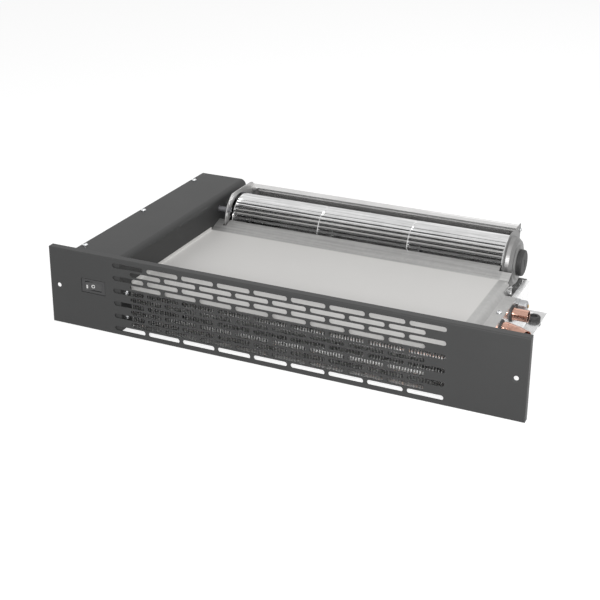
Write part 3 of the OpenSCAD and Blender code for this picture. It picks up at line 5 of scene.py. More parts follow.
import bmesh
import bpy
from mathutils import Euler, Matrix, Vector
from mathutils.bvhtree import BVHTree


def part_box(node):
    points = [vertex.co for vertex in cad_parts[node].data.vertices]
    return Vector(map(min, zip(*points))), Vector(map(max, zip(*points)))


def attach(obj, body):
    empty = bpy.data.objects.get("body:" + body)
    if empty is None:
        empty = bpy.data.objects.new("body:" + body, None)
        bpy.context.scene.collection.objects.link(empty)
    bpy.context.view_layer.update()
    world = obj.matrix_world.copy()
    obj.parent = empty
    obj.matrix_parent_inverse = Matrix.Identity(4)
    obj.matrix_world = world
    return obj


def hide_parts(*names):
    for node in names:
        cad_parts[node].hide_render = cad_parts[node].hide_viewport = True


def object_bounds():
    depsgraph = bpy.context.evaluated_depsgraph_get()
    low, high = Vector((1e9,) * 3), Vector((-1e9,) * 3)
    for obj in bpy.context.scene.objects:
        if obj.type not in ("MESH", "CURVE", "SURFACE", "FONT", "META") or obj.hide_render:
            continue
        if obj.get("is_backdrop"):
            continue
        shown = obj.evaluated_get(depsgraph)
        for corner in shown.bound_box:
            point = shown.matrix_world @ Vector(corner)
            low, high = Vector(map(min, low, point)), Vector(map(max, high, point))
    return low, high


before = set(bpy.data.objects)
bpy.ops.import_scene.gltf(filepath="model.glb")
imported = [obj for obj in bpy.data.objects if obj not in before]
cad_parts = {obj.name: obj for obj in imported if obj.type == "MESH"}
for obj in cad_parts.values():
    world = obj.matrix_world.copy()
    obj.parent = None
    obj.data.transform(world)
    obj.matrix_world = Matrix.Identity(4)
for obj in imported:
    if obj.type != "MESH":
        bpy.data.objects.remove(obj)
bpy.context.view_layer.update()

# The studio: a pale floor that takes the shadow, three soft boxes and an even white surround. The
# fill box stands beside the camera, so that what lies behind the slots is lit too.
CAMERA_PLACE = (0.5662, -1.3273, 0.6676)
CAMERA_TURN = (68.49, -0.31, 24.64)
LENS = 75.14
SHIFT_UP = -0.1
FLOOR_SIDE = 12
FLOOR_GLOW = 0.66
FLOOR_GREY = 0.5
SURROUND = 0.5
KEY_BOX = {"place": (0.75, -0.4, 1.9), "side": 1.4, "watts": 8}
FILL_BOX = {"place": (0.68, -1.66, 0.86), "side": 0.4, "watts": 28}
BACK_BOX = {"place": (0.1, 1.5, 1.6), "side": 1.3, "watts": 2.5}


def add(tree, kind, sockets=None, **settings):
    """Adds a shader node; a socket takes a value, or the output that feeds it."""
    made = tree.nodes.new("ShaderNode" + kind)
    for name, value in settings.items():
        setattr(made, name, value)
    for name, value in (sockets or {}).items():
        if isinstance(value, bpy.types.NodeSocket):
            tree.links.new(value, made.inputs[name])
        else:
            made.inputs[name].default_value = value
    return made


def fresh_tree(owner):
    """Switches nodes on for a world or material, and empties its tree."""
    owner.use_nodes = True
    owner.node_tree.nodes.clear()
    return owner.node_tree


def seen_by_eye(tree):
    """1 for rays from the camera, a reflection or a pane, and 0 for light on its way."""
    path = add(tree, "LightPath")
    shine = add(tree, "Math", {0: path.outputs["Is Camera Ray"], 1: path.outputs["Is Glossy Ray"]},
                operation="MAXIMUM")
    clear = add(tree, "Math", {0: shine.outputs[0], 1: path.outputs["Is Transmission Ray"]},
                operation="MAXIMUM")
    return clear.outputs[0]


def soft_box(name, place, side, watts):
    """A square lamp that faces the heater."""
    lamp = bpy.data.lights.new(name, "AREA")
    lamp.size = side
    lamp.energy = watts
    box = bpy.data.objects.new(name, lamp)
    box.location = place
    box.rotation_euler = (Vector((0, 0, 0)) - Vector(place)).to_track_quat("-Z", "Y").to_euler()
    bpy.context.scene.collection.objects.link(box)


soft_box("key_box", **KEY_BOX)
soft_box("fill_box", **FILL_BOX)
soft_box("back_box", **BACK_BOX)

world = bpy.data.worlds.new("surround")
bpy.context.scene.world = world
tree = fresh_tree(world)
level = add(tree, "MapRange", {"Value": seen_by_eye(tree), "To Min": SURROUND, "To Max": 1.0})
glow = add(tree, "Background", {"Color": (1, 1, 1, 1), "Strength": level.outputs[0]})
add(tree, "OutputWorld", {"Surface": glow.outputs[0]})

floor_mesh = bpy.data.meshes.new("floor")
side = FLOOR_SIDE / 2
floor_mesh.from_pydata([(-side, -side, 0), (side, -side, 0), (side, side, 0), (-side, side, 0)],
                       [], [(0, 1, 2, 3)])
floor = bpy.data.objects.new("floor", floor_mesh)
bpy.context.scene.collection.objects.link(floor)
paper = bpy.data.materials.new("white_paper")
tree = fresh_tree(paper)
matt = add(tree, "BsdfDiffuse", {"Color": (FLOOR_GREY, FLOOR_GREY, FLOOR_GREY, 1)})
lift = add(tree, "Math", {0: seen_by_eye(tree), 1: FLOOR_GLOW}, operation="MULTIPLY")
glow = add(tree, "Emission", {"Color": (1, 1, 1, 1), "Strength": lift.outputs[0]})
both = add(tree, "AddShader", {0: matt.outputs[0], 1: glow.outputs[0]})
add(tree, "OutputMaterial", {"Surface": both.outputs[0]})
floor_mesh.materials.append(paper)
floor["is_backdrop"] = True

camera = bpy.data.objects.new("camera", bpy.data.cameras.new("camera"))
camera.data.lens = LENS
camera.data.shift_y = SHIFT_UP
camera.location = CAMERA_PLACE
camera.rotation_euler = Euler([math.radians(angle) for angle in CAMERA_TURN])
bpy.context.scene.collection.objects.link(camera)
bpy.context.scene.camera = camera
bpy.context.scene.view_settings.view_transform = "Standard"

# Chassis: a base plate and a right wall folded from galvanised steel. The hot-dipped zinc freezes
# in crystals a centimetre wide, and the base plate under the coil is smooth enough to mirror it.
BASE_ZINC = (0.6, 0.6, 0.6)
WALL_ZINC = (0.9, 0.9, 0.9)
CRYSTAL = 0.009
BORDER_NOISE = 2.5
BORDER_BEND = 0.7
SMALL_CRYSTALS = 2.7
CRYSTAL_SHARES = (0.7, 0.3)
EDGE_SOFTNESS = 0.0005
EDGE_ENDS = (0.995, 0.8)
BRIGHT_EDGE = 1.22


def colour(rgb):
    return (*rgb, 1)


def new_group(name, takes, gives):
    """An empty node group; takes holds (name, kind, value), gives holds (name, kind)."""
    tree = bpy.data.node_groups.new(name, "ShaderNodeTree")
    for label, kind, value in takes:
        socket = tree.interface.new_socket(label, in_out="INPUT", socket_type="NodeSocket" + kind)
        socket.default_value = value
    for label, kind in gives:
        tree.interface.new_socket(label, in_out="OUTPUT", socket_type="NodeSocket" + kind)
    source = tree.nodes.new("NodeGroupInput").outputs
    return tree, source, tree.nodes.new("NodeGroupOutput").inputs


def use(tree, group, sockets=None):
    """Places a node group in a tree."""
    placed = tree.nodes.new("ShaderNodeGroup")
    placed.node_tree = group
    for name, value in (sockets or {}).items():
        if isinstance(value, bpy.types.NodeSocket):
            tree.links.new(value, placed.inputs[name])
        else:
            placed.inputs[name].default_value = value
    return placed


def sums(tree, operation, first, second):
    """The outcome of one sum of two values or outputs."""
    return add(tree, "Math", {0: first, 1: second}, operation=operation).outputs[0]


def tinted(tree, base, value):
    """The colour base, made lighter or darker by a value."""
    return add(tree, "VectorMath", {0: base, "Scale": value}, operation="SCALE").outputs[0]


spangle, take, give = new_group(
    "zinc_crystals",
    [("Color", "Color", (1, 1, 1, 1)), ("Size", "Float", 0.01), ("Contrast", "Float", 0.2)],
    [("Color", "Color"), ("Roughness", "Float"), ("Height", "Float")])
where = add(spangle, "TexCoord").outputs["Object"]
density = sums(spangle, "DIVIDE", 1.0, take["Size"])
ragged = add(spangle, "TexNoise",
             {"Vector": where, "Scale": sums(spangle, "MULTIPLY", density, BORDER_NOISE),
              "Detail": 3.0})
shift = add(spangle, "VectorMath", {0: ragged.outputs["Color"], 1: (0.5, 0.5, 0.5)},
            operation="SUBTRACT")
reach = add(spangle, "VectorMath",
            {0: shift.outputs[0], "Scale": sums(spangle, "MULTIPLY", take["Size"], BORDER_BEND)},
            operation="SCALE")
bent = add(spangle, "VectorMath", {0: where, 1: reach.outputs[0]}, operation="ADD").outputs[0]
cells = add(spangle, "TexVoronoi", {"Vector": bent, "Scale": density})
small = add(spangle, "TexVoronoi",
            {"Vector": bent, "Scale": sums(spangle, "MULTIPLY", density, SMALL_CRYSTALS)})
one = add(spangle, "SeparateColor", {"Color": cells.outputs["Color"]})
two = add(spangle, "SeparateColor", {"Color": small.outputs["Color"]})
mixed = sums(spangle, "ADD", sums(spangle, "MULTIPLY", one.outputs[0], CRYSTAL_SHARES[0]),
             sums(spangle, "MULTIPLY", two.outputs[1], CRYSTAL_SHARES[1]))
offset = sums(spangle, "MULTIPLY", sums(spangle, "SUBTRACT", mixed, 0.5), take["Contrast"])
spangle.links.new(tinted(spangle, take["Color"], sums(spangle, "ADD", 1.0, offset)), give["Color"])
spangle.links.new(sums(spangle, "MULTIPLY", offset, 0.5), give["Roughness"])
spangle.links.new(mixed, give["Height"])

edges, take, give = new_group(
    "rounded_edges",
    [("Radius", "Float", 0.0005)],
    [("Mask", "Float"), ("Normal", "Vector")])
soft = add(edges, "Bevel", {"Radius": take["Radius"]}, samples=4)
hard = add(edges, "NewGeometry").outputs["Normal"]
match = add(edges, "VectorMath", {0: soft.outputs[0], 1: hard}, operation="DOT_PRODUCT")
mask = add(edges, "MapRange", {"Value": match.outputs["Value"], "From Min": EDGE_ENDS[0],
                               "From Max": EDGE_ENDS[1]})
edges.links.new(mask.outputs[0], give["Mask"])
edges.links.new(soft.outputs[0], give["Normal"])

# Noise marks: real handling marks, tarnish and haze in most finishes, and painted reflection
# streaks on the impeller and the coil cover's rise.
smears_and_painted_streaks, take, give = new_group(
    "handling_marks_and_painted_streaks",
    [("Size", "Float", 0.05), ("Stretch", "Vector", (1, 1, 1)), ("Spread", "Float", 0.1)],
    [("Value", "Float")])
where = add(smears_and_painted_streaks, "TexCoord").outputs["Object"]
drawn = add(smears_and_painted_streaks, "VectorMath", {0: where, 1: take["Stretch"]}, operation="MULTIPLY")
noise = add(smears_and_painted_streaks, "TexNoise", {"Vector": drawn.outputs[0],
                                 "Scale": sums(smears_and_painted_streaks, "DIVIDE", 1.0, take["Size"]),
                                 "Detail": 6.0, "Roughness": 0.55})
offset = sums(smears_and_painted_streaks, "MULTIPLY", sums(smears_and_painted_streaks, "SUBTRACT", noise.outputs["Fac"], 0.5),
              take["Spread"])
smears_and_painted_streaks.links.new(sums(smears_and_painted_streaks, "ADD", 1.0, offset), give["Value"])


def new_finish(name, **sockets):
    """A material with one Principled shader, and its tree."""
    material = bpy.data.materials.new(name)
    tree = fresh_tree(material)
    shader = add(tree, "BsdfPrincipled", {key.replace("_", " "): value
                                          for key, value in sockets.items()})
    add(tree, "OutputMaterial", {"Surface": shader.outputs[0]})
    return material, tree, shader


def feed(tree, shader, **sources):
    """Links outputs to the shader's sockets."""
    for key, source in sources.items():
        tree.links.new(source, shader.inputs[key.replace("_", " ")])


def bumped(tree, height, strength, depth, normal=None):
    """A normal that follows a height; strength runs from 0 to 1 and depth is in metres."""
    sockets = {"Height": height, "Strength": strength, "Distance": depth}
    if normal is not None:
        sockets["Normal"] = normal
    return add(tree, "Bump", sockets).outputs[0]


def galvanised(name, base, crystal, contrast, roughness):
    """Zinc-coated sheet with crystals, handling marks and brighter edges."""
    material, tree, shader = new_finish(name, Metallic=0.85)
    zinc = use(tree, spangle, {"Color": colour(base), "Size": crystal, "Contrast": contrast})
    marks = use(tree, smears_and_painted_streaks, {"Size": 0.04, "Spread": 0.28})
    rim = use(tree, edges, {"Radius": EDGE_SOFTNESS})
    bright = add(tree, "MapRange", {"Value": rim.outputs["Mask"], "To Min": 1.0,
                                    "To Max": BRIGHT_EDGE})
    shade = sums(tree, "MULTIPLY", marks.outputs["Value"], bright.outputs[0])
    rough = sums(tree, "ADD", sums(tree, "MULTIPLY", marks.outputs["Value"], roughness),
                 zinc.outputs["Roughness"])
    normal = bumped(tree, zinc.outputs["Height"], strength=0.15, depth=0.0002,
                    normal=rim.outputs["Normal"])
    feed(tree, shader, Base_Color=tinted(tree, zinc.outputs["Color"], shade), Roughness=rough,
         Normal=normal)
    return material


def dress(material, *nodes):
    """Gives CAD nodes a finish."""
    for node in nodes:
        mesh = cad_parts[node].data
        mesh.materials.clear()
        mesh.materials.append(material)
        for polygon in mesh.polygons:
            polygon.material_index = 0


dress(galvanised("bright_wall_sheet", WALL_ZINC, CRYSTAL, contrast=0.14, roughness=0.22),
      "chassis_side_wall")
dress(galvanised("bright_base_sheet", BASE_ZINC, CRYSTAL, contrast=0.16, roughness=0.16),
      "chassis_base")

# Screws, nuts and studs: turned steel with bright zinc plating, darkened by painted shade in the
# recesses of the heads.
PLATING = (0.72, 0.73, 0.74)
RECESS = 0.002
RECESS_SHADE = 0.35

grain, take, give = new_group(
    "fine_grain",
    [("Size", "Float", 0.001), ("Spread", "Float", 0.1)],
    [("Value", "Float"), ("Height", "Float")])
where = add(grain, "TexCoord").outputs["Object"]
noise = add(grain, "TexNoise", {"Vector": where, "Scale": sums(grain, "DIVIDE", 1.0, take["Size"]),
                                "Detail": 3.0, "Roughness": 0.6})
offset = sums(grain, "MULTIPLY", sums(grain, "SUBTRACT", noise.outputs["Fac"], 0.5), take["Spread"])
grain.links.new(sums(grain, "ADD", 1.0, offset), give["Value"])
grain.links.new(noise.outputs["Fac"], give["Height"])

plated, tree, shader = new_finish("bright_zinc_plating", Metallic=1.0)
turned = use(tree, grain, {"Size": 0.0006, "Spread": 0.25})
rim = use(tree, edges, {"Radius": 0.0003})
# Painted shade: occlusion darkens the plating in the recesses of the heads.
hollow = add(tree, "AmbientOcclusion", {"Distance": RECESS}, samples=4)
painted_recess_shade = add(tree, "MapRange", {"Value": hollow.outputs["AO"], "To Min": RECESS_SHADE,
                                "To Max": 1.0})
feed(tree, shader,
     Base_Color=tinted(tree, PLATING,
                       sums(tree, "MULTIPLY", turned.outputs["Value"], painted_recess_shade.outputs[0])),
     Roughness=sums(tree, "MULTIPLY", turned.outputs["Value"], 0.24),
     Normal=rim.outputs["Normal"])
dress(plated, "panel_nuts", "cover_screws", "side_screws", "chassis_screws", "coil_cover_screws",
      "fan_screws", "motor_screws", "terminal_screws", "earth_stud")

# Rubber: the feet, the pipe grommets, the fan's bearing mount and the coupling are moulded black
# rubber, matt, with a faint uneven bloom.
BLACK_RUBBER = (0.036, 0.0355, 0.036)

rubber, tree, shader = new_finish("black_rubber", IOR=1.5, Specular_IOR_Level=0.35)
bloom = use(tree, smears_and_painted_streaks, {"Size": 0.012, "Spread": 0.7})
pores = use(tree, grain, {"Size": 0.0004, "Spread": 0.3})
rim = use(tree, edges, {"Radius": 0.0006})
feed(tree, shader,
     Base_Color=tinted(tree, BLACK_RUBBER, bloom.outputs["Value"]),
     Roughness=sums(tree, "MULTIPLY", pores.outputs["Value"], 0.55),
     Normal=bumped(tree, pores.outputs["Height"], strength=0.3, depth=0.0001,
                   normal=rim.outputs["Normal"]))
dress(rubber, "rubber_feet", "pipe_grommets", "bearing_mount", "shaft_coupling")

# Coil pipes: drawn copper hairpins and bends, brazed at the ends and warm with a first tarnish,
# with long drawing lines along the tube.
COPPER = (0.52, 0.312, 0.245)
TARNISH = (0.25, 0.14, 0.108)
TARNISH_ENDS = (1.0, 1.7)
SCALE_GREY = (0.20, 0.12, 0.10)
SCALE_ENDS = (1.55, 2.2)

copper, tree, shader = new_finish("drawn_copper", Metallic=1.0)
lines = use(tree, smears_and_painted_streaks, {"Size": 0.006, "Stretch": (0.12, 1, 1), "Spread": 0.3})
patches = use(tree, smears_and_painted_streaks, {"Size": 0.02, "Spread": 2.6})
spots = use(tree, smears_and_painted_streaks, {"Size": 0.005, "Spread": 3.2})
aged = add(tree, "MapRange", {"Value": patches.outputs["Value"], "From Min": TARNISH_ENDS[0],
                              "From Max": TARNISH_ENDS[1]})
blotch = add(tree, "MapRange", {"Value": spots.outputs["Value"], "From Min": SCALE_ENDS[0],
                                "From Max": SCALE_ENDS[1]})
warm = add(tree, "Mix", {"Factor": aged.outputs[0], 6: colour(COPPER), 7: colour(TARNISH)},
           data_type="RGBA")
dark = add(tree, "Mix", {"Factor": blotch.outputs[0], 6: warm.outputs[2], 7: colour(SCALE_GREY)},
           data_type="RGBA")
rim = use(tree, edges, {"Radius": 0.0003})
feed(tree, shader,
     Base_Color=tinted(tree, dark.outputs[2], lines.outputs["Value"]),
     Roughness=sums(tree, "ADD", sums(tree, "MULTIPLY", lines.outputs["Value"], 0.2),
                    sums(tree, "MULTIPLY", aged.outputs[0], 0.2)),
     Normal=rim.outputs["Normal"])
dress(copper, "coil_hairpins", "return_bends", "flow_tail", "return_tail")

# Coil fins: sheets of aluminium foil, rippled from front to back to stir the air, each with a
# front lip and a collar drawn up round every tube hole to grip the copper. The lip and the
# collars take a whiter copy of the foil, a painted highlight where light through the slots falls.
FIN_PITCH = 0.0035
FOIL = 0.00016
RIPPLE = 0.00045
RIPPLE_LENGTH = 0.011
RIPPLE_STEPS = 6
TUBE_ROWS = 4
TUBE_LEVEL_SHARES = (0.25, 0.75)
TUBE_RADIUS = 0.0050
COLLAR = 0.0034
COLLAR_FLARE = 0.0006
COLLAR_SIDES = 20
FRONT_LIP = 0.0011
FOIL_GREY = (0.85, 0.85, 0.85)
HIGHLIGHT_WHITE = (0.95, 0.95, 0.94)


def new_piece(name, mesh_builder, material, body="case", smooth=True):
    """Makes a piece from a bmesh that rides on a body."""
    mesh = bpy.data.meshes.new(name)
    mesh_builder.to_mesh(mesh)
    mesh_builder.free()
    piece = bpy.data.objects.new(name, mesh)
    bpy.context.scene.collection.objects.link(piece)
    mesh.materials.append(material)
    for polygon in mesh.polygons:
        polygon.use_smooth = smooth
    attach(piece, body)
    return piece


def repeat(piece, count, step):
    """Shows the piece count times, a step apart, through an array modifier."""
    rows = piece.modifiers.new("rows", "ARRAY")
    rows.use_relative_offset = False
    rows.use_constant_offset = True
    rows.constant_offset_displace = step
    rows.count = count


foil, tree, shader = new_finish("fin_foil", Metallic=0.6)
stamped = use(tree, smears_and_painted_streaks, {"Size": 0.01, "Spread": 0.6})
feed(tree, shader, Base_Color=tinted(tree, FOIL_GREY, stamped.outputs["Value"]),
     Roughness=sums(tree, "MULTIPLY", stamped.outputs["Value"], 0.3))

# Painted highlight: the front lips and the collars are the same foil, given a whiter copy.
painted_highlight_foil, tree, shader = new_finish("painted_highlight_collars", Metallic=0.2)
drawn = use(tree, smears_and_painted_streaks, {"Size": 0.004, "Spread": 0.4})
feed(tree, shader, Base_Color=tinted(tree, HIGHLIGHT_WHITE, drawn.outputs["Value"]),
     Roughness=sums(tree, "MULTIPLY", drawn.outputs["Value"], 0.3))

low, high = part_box("coil_fins")
fin_count = round((high.x - low.x) / FIN_PITCH)
depth = high.y - low.y
height = high.z - low.z
fin = bmesh.new()
steps = round(depth / RIPPLE_LENGTH * RIPPLE_STEPS)
columns = [[fin.verts.new((low.x + RIPPLE + FRONT_LIP, low.y - FOIL, z)) for z in (low.z, high.z)]]
for i in range(steps + 1):
    y = low.y + depth * i / steps
    wave = RIPPLE * math.sin(2 * math.pi * (y - low.y) / RIPPLE_LENGTH)
    columns.append([fin.verts.new((low.x + RIPPLE + wave, y, z)) for z in (low.z, high.z)])
for left, right in zip(columns, columns[1:]):
    strip = fin.faces.new((left[0], left[1], right[1], right[0]))
    # The front lip takes the painted highlight copy of the foil.
    strip.material_index = 1 if left is columns[0] else 0
bmesh.ops.solidify(fin, geom=fin.faces[:], thickness=FOIL)
for row in range(TUBE_ROWS):
    for level_share in TUBE_LEVEL_SHARES:
        centre_y = low.y + depth * (row + 0.5) / TUBE_ROWS
        centre_z = low.z + height * level_share
        rings = []
        for x, radius in ((0, TUBE_RADIUS + COLLAR_FLARE), (COLLAR_FLARE, TUBE_RADIUS),
                          (COLLAR, TUBE_RADIUS), (COLLAR, TUBE_RADIUS + COLLAR_FLARE)):
            ring = []
            for k in range(COLLAR_SIDES):
                turn = 2 * math.pi * k / COLLAR_SIDES
                ring.append(fin.verts.new((low.x + RIPPLE + x, centre_y + radius * math.cos(turn),
                                           centre_z + radius * math.sin(turn))))
            rings.append(ring)
        for inner, outer in zip(rings, rings[1:]):
            for k in range(COLLAR_SIDES):
                after = (k + 1) % COLLAR_SIDES
                collar = fin.faces.new((inner[k], inner[after], outer[after], outer[k]))
                collar.material_index = 1
fins = new_piece("rippled_fins", fin, foil)
fins.data.materials.append(painted_highlight_foil)
repeat(fins, fin_count, (FIN_PITCH, 0, 0))
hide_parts("coil_fins")

# Tube sheets: the galvanised end plates of the coil that the hairpins pass through, duller than
# the chassis and with more contrast between their crystals.
DULL_ZINC = (0.53, 0.53, 0.525)

dress(galvanised("galvanised_sheet", DULL_ZINC, CRYSTAL, contrast=0.26, roughness=0.42),
      "tube_sheet_left", "tube_sheet_right")

# Air vent: a nickel-plated brass body on the flow tail's branch, with a slotted brass screw that
# is turned by hand to bleed the coil.
NICKEL = (0.36, 0.365, 0.37)
BRASS = (0.74, 0.56, 0.28)

nickel, tree, shader = new_finish("dull_nickel", Metallic=1.0)
satin = use(tree, grain, {"Size": 0.0012, "Spread": 0.35})
rim = use(tree, edges, {"Radius": 0.0004})
feed(tree, shader, Base_Color=tinted(tree, NICKEL, satin.outputs["Value"]),
     Roughness=sums(tree, "MULTIPLY", satin.outputs["Value"], 0.38), Normal=rim.outputs["Normal"])
dress(nickel, "vent_body", "thermostat_clip")

brass, tree, shader = new_finish("turned_brass", Metallic=1.0)
satin = use(tree, grain, {"Size": 0.001, "Spread": 0.3})
rim = use(tree, edges, {"Radius": 0.0003})
feed(tree, shader, Base_Color=tinted(tree, BRASS, satin.outputs["Value"]),
     Roughness=sums(tree, "MULTIPLY", satin.outputs["Value"], 0.28), Normal=rim.outputs["Normal"])
dress(brass, "vent_screw", "switch_terminals")

# Coil cover: one zinc-coated sheet with a pale matt film on its flat. The film stops where the
# sheet rises to the fan at the back, where streaks painted into the bare zinc stand for reflections
# of the impeller's blades, and where it steps down on the right, made brighter by painted light.
COVER_PALE = (0.558, 0.55, 0.537)
BARE_ZINC = (0.31, 0.308, 0.303)
BARE_METAL = 0.7
RISE_RUN = 0.0235
STEP_RUN = 0.0317
COAT_FADE = 0.002
STEP_PAINTED_LIGHT = 0.3

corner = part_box("coil_cover")[1]
rise_start = corner.y - RISE_RUN
step_start = corner.x - STEP_RUN
cover_coat, tree, shader = new_finish("pale_coated_sheet")
painted_reflection_streaks = use(tree, smears_and_painted_streaks, {"Size": 0.004, "Stretch": (0.02, 1, 1), "Spread": 0.9})
cloud = use(tree, smears_and_painted_streaks, {"Size": 0.09, "Spread": 0.06})
film = use(tree, grain, {"Size": 0.0007, "Spread": 0.1})
rim = use(tree, edges, {"Radius": EDGE_SOFTNESS})
across = add(tree, "SeparateXYZ", {"Vector": add(tree, "TexCoord").outputs["Object"]})
behind = add(tree, "MapRange", {"Value": across.outputs["Y"], "From Min": rise_start - COAT_FADE,
                                "From Max": rise_start})
beside = add(tree, "MapRange", {"Value": across.outputs["X"], "From Min": step_start,
                                "From Max": step_start + COAT_FADE})
bare = sums(tree, "MAXIMUM", behind.outputs[0], beside.outputs[0])
zinc = use(tree, spangle, {"Color": colour(BARE_ZINC), "Size": 0.005, "Contrast": 0.1})
# Painted reflection: streaks of the impeller's blades on the bare zinc of the rise.
painted_blade_reflections = sums(tree, "MULTIPLY", sums(tree, "SUBTRACT", painted_reflection_streaks.outputs["Value"], 1.0),
             behind.outputs[0])
# Painted light: the step down on the right is made brighter.
painted_step_light = sums(tree, "MULTIPLY", beside.outputs[0], STEP_PAINTED_LIGHT)
drawn = tinted(tree, zinc.outputs["Color"],
               sums(tree, "ADD", sums(tree, "ADD", 1.0, painted_blade_reflections), painted_step_light))
coated = tinted(tree, COVER_PALE, cloud.outputs["Value"])
both = add(tree, "Mix", {"Factor": bare, 6: coated, 7: drawn}, data_type="RGBA").outputs[2]
feed(tree, shader, Base_Color=both, Metallic=sums(tree, "MULTIPLY", bare, BARE_METAL),
     Roughness=sums(tree, "MULTIPLY", film.outputs["Value"], 0.42),
     Normal=bumped(tree, film.outputs["Height"], strength=0.06, depth=0.0001,
                   normal=rim.outputs["Normal"]))
dress(cover_coat, "coil_cover")

# Fan housing: thinner galvanised sheet with a finer crystal. The scroll with its rail and the
# tongue under the cover's back edge are smooth, and the two pressed end plates are duller; the
# right one is painted much darker than the left, painted shade that holds down the strong light on
# it.
FINE_CRYSTAL = 0.004
SCROLL_ZINC = (0.66, 0.655, 0.65)
LEFT_ZINC = (0.5, 0.497, 0.493)
RIGHT_ZINC_PAINTED_SHADE = (0.22, 0.218, 0.216)

dress(galvanised("scroll_zinc", SCROLL_ZINC, FINE_CRYSTAL, contrast=0.03, roughness=0.13),
      "fan_scroll", "fan_tongue")
dress(galvanised("left_plate_zinc", LEFT_ZINC, FINE_CRYSTAL, contrast=0.1, roughness=0.45),
      "fan_plate_left")
# Painted shade: the right end plate is given a far darker zinc than the left.
dress(galvanised("right_plate_painted_shade_zinc", RIGHT_ZINC_PAINTED_SHADE, FINE_CRYSTAL, contrast=0.1, roughness=0.42),
      "fan_plate_right")

# Impeller: rolled aluminium blades in three sections, pinched between thin discs, with light and
# dark streaks along the blades painted into the colour as reflections.
BLADE = (0.67, 0.67, 0.67)

blade_metal, tree, shader = new_finish("rolled_aluminium", Metallic=1.0)
# Painted reflection: light and dark streaks along the blades.
painted_reflection_streaks = use(tree, smears_and_painted_streaks, {"Size": 0.002, "Stretch": (0.03, 1, 1), "Spread": 0.8})
dents = use(tree, smears_and_painted_streaks, {"Size": 0.02, "Spread": 0.3})
shade = sums(tree, "MULTIPLY", painted_reflection_streaks.outputs["Value"], dents.outputs["Value"])
feed(tree, shader, Base_Color=tinted(tree, BLADE, shade),
     Roughness=sums(tree, "MULTIPLY", dents.outputs["Value"], 0.13),
     Normal=bumped(tree, dents.outputs["Value"], strength=0.25, depth=0.001))
dress(blade_metal, "impeller_blades", "impeller_discs")

# Shafts, bush and motor: a shaded-pole motor hangs on the fan's left end plate, with a stack of
# dark steel laminations, a wound bobbin and die-cast bearing brackets.
GROUND_STEEL = (0.56, 0.56, 0.57)
BRONZE = (0.55, 0.38, 0.2)
LAMINATION = (0.19, 0.19, 0.2)
LAMINATION_PITCH = 0.0005
NYLON_WHITE = (0.78, 0.76, 0.7)
ENAMEL = (0.42, 0.16, 0.06)
GROOVE_SHADE = 0.45
WIRE_PITCH = 0.0006
CASTING = (0.47, 0.48, 0.49)


def plain_metal(name, base, grain_size, spread, roughness, edge):
    """Bare metal with an even grain and softened edges."""
    material, tree, shader = new_finish(name, Metallic=1.0)
    skin = use(tree, grain, {"Size": grain_size, "Spread": spread})
    rim = use(tree, edges, {"Radius": edge})
    feed(tree, shader, Base_Color=tinted(tree, base, skin.outputs["Value"]),
         Roughness=sums(tree, "MULTIPLY", skin.outputs["Value"], roughness),
         Normal=bumped(tree, skin.outputs["Height"], strength=0.15, depth=0.0002,
                       normal=rim.outputs["Normal"]))
    return material


def banded(tree, across, pitch):
    """0 to 1 and back along one axis, once for each sheet or turn of wire."""
    along = add(tree, "TexCoord").outputs["Object"]
    picked = add(tree, "VectorMath", {0: along, 1: across}, operation="DOT_PRODUCT")
    turns = sums(tree, "MULTIPLY", picked.outputs["Value"], math.pi / pitch)
    return add(tree, "Math", {0: add(tree, "Math", {0: turns}, operation="SINE").outputs[0]},
               operation="ABSOLUTE").outputs[0]


dress(plain_metal("ground_steel", GROUND_STEEL, grain_size=0.0008, spread=0.2, roughness=0.25,
                  edge=0.0003), "stub_shaft", "drive_shaft")
dress(plain_metal("sintered_bronze", BRONZE, grain_size=0.0005, spread=0.5, roughness=0.45,
                  edge=0.0003), "bearing_bush", "motor_bearings")
dress(plain_metal("die_cast_alloy", CASTING, grain_size=0.0009, spread=0.3, roughness=0.42,
                  edge=0.0005), "motor_brackets")

stack, tree, shader = new_finish("lamination_stack", Metallic=0.8)
sheets = banded(tree, (1, 0, 0), LAMINATION_PITCH)
scale = use(tree, smears_and_painted_streaks, {"Size": 0.006, "Spread": 0.8})
feed(tree, shader, Base_Color=tinted(tree, LAMINATION, scale.outputs["Value"]),
     Roughness=sums(tree, "MULTIPLY", scale.outputs["Value"], 0.5),
     Normal=bumped(tree, sheets, strength=0.6, depth=0.0001))
dress(stack, "motor_stator", "motor_rotor", "motor_pillars")

bobbin, tree, shader = new_finish("white_nylon", IOR=1.5)
fill = use(tree, smears_and_painted_streaks, {"Size": 0.008, "Spread": 0.14})
rim = use(tree, edges, {"Radius": 0.0003})
feed(tree, shader, Base_Color=tinted(tree, NYLON_WHITE, fill.outputs["Value"]),
     Roughness=sums(tree, "MULTIPLY", fill.outputs["Value"], 0.45), Normal=rim.outputs["Normal"])
dress(bobbin, "motor_bobbin")

winding, tree, shader = new_finish("enamelled_winding", Metallic=0.7, Coat_Weight=0.6)
turns = banded(tree, (0, 1, 0), WIRE_PITCH)
varnish = use(tree, smears_and_painted_streaks, {"Size": 0.004, "Spread": 0.6})
groove = add(tree, "MapRange", {"Value": turns, "To Min": GROOVE_SHADE, "To Max": 1.0})
feed(tree, shader,
     Base_Color=tinted(tree, ENAMEL,
                       sums(tree, "MULTIPLY", varnish.outputs["Value"], groove.outputs[0])),
     Roughness=sums(tree, "MULTIPLY", varnish.outputs["Value"], 0.3),
     Normal=bumped(tree, turns, strength=0.8, depth=0.0003))
dress(winding, "motor_winding")

# Control box: tray and cover folded from steel and painted a satin dark grey, with the faint
# orange peel of a sprayed coat.
BOX_GREY = (0.03, 0.0303, 0.0303)


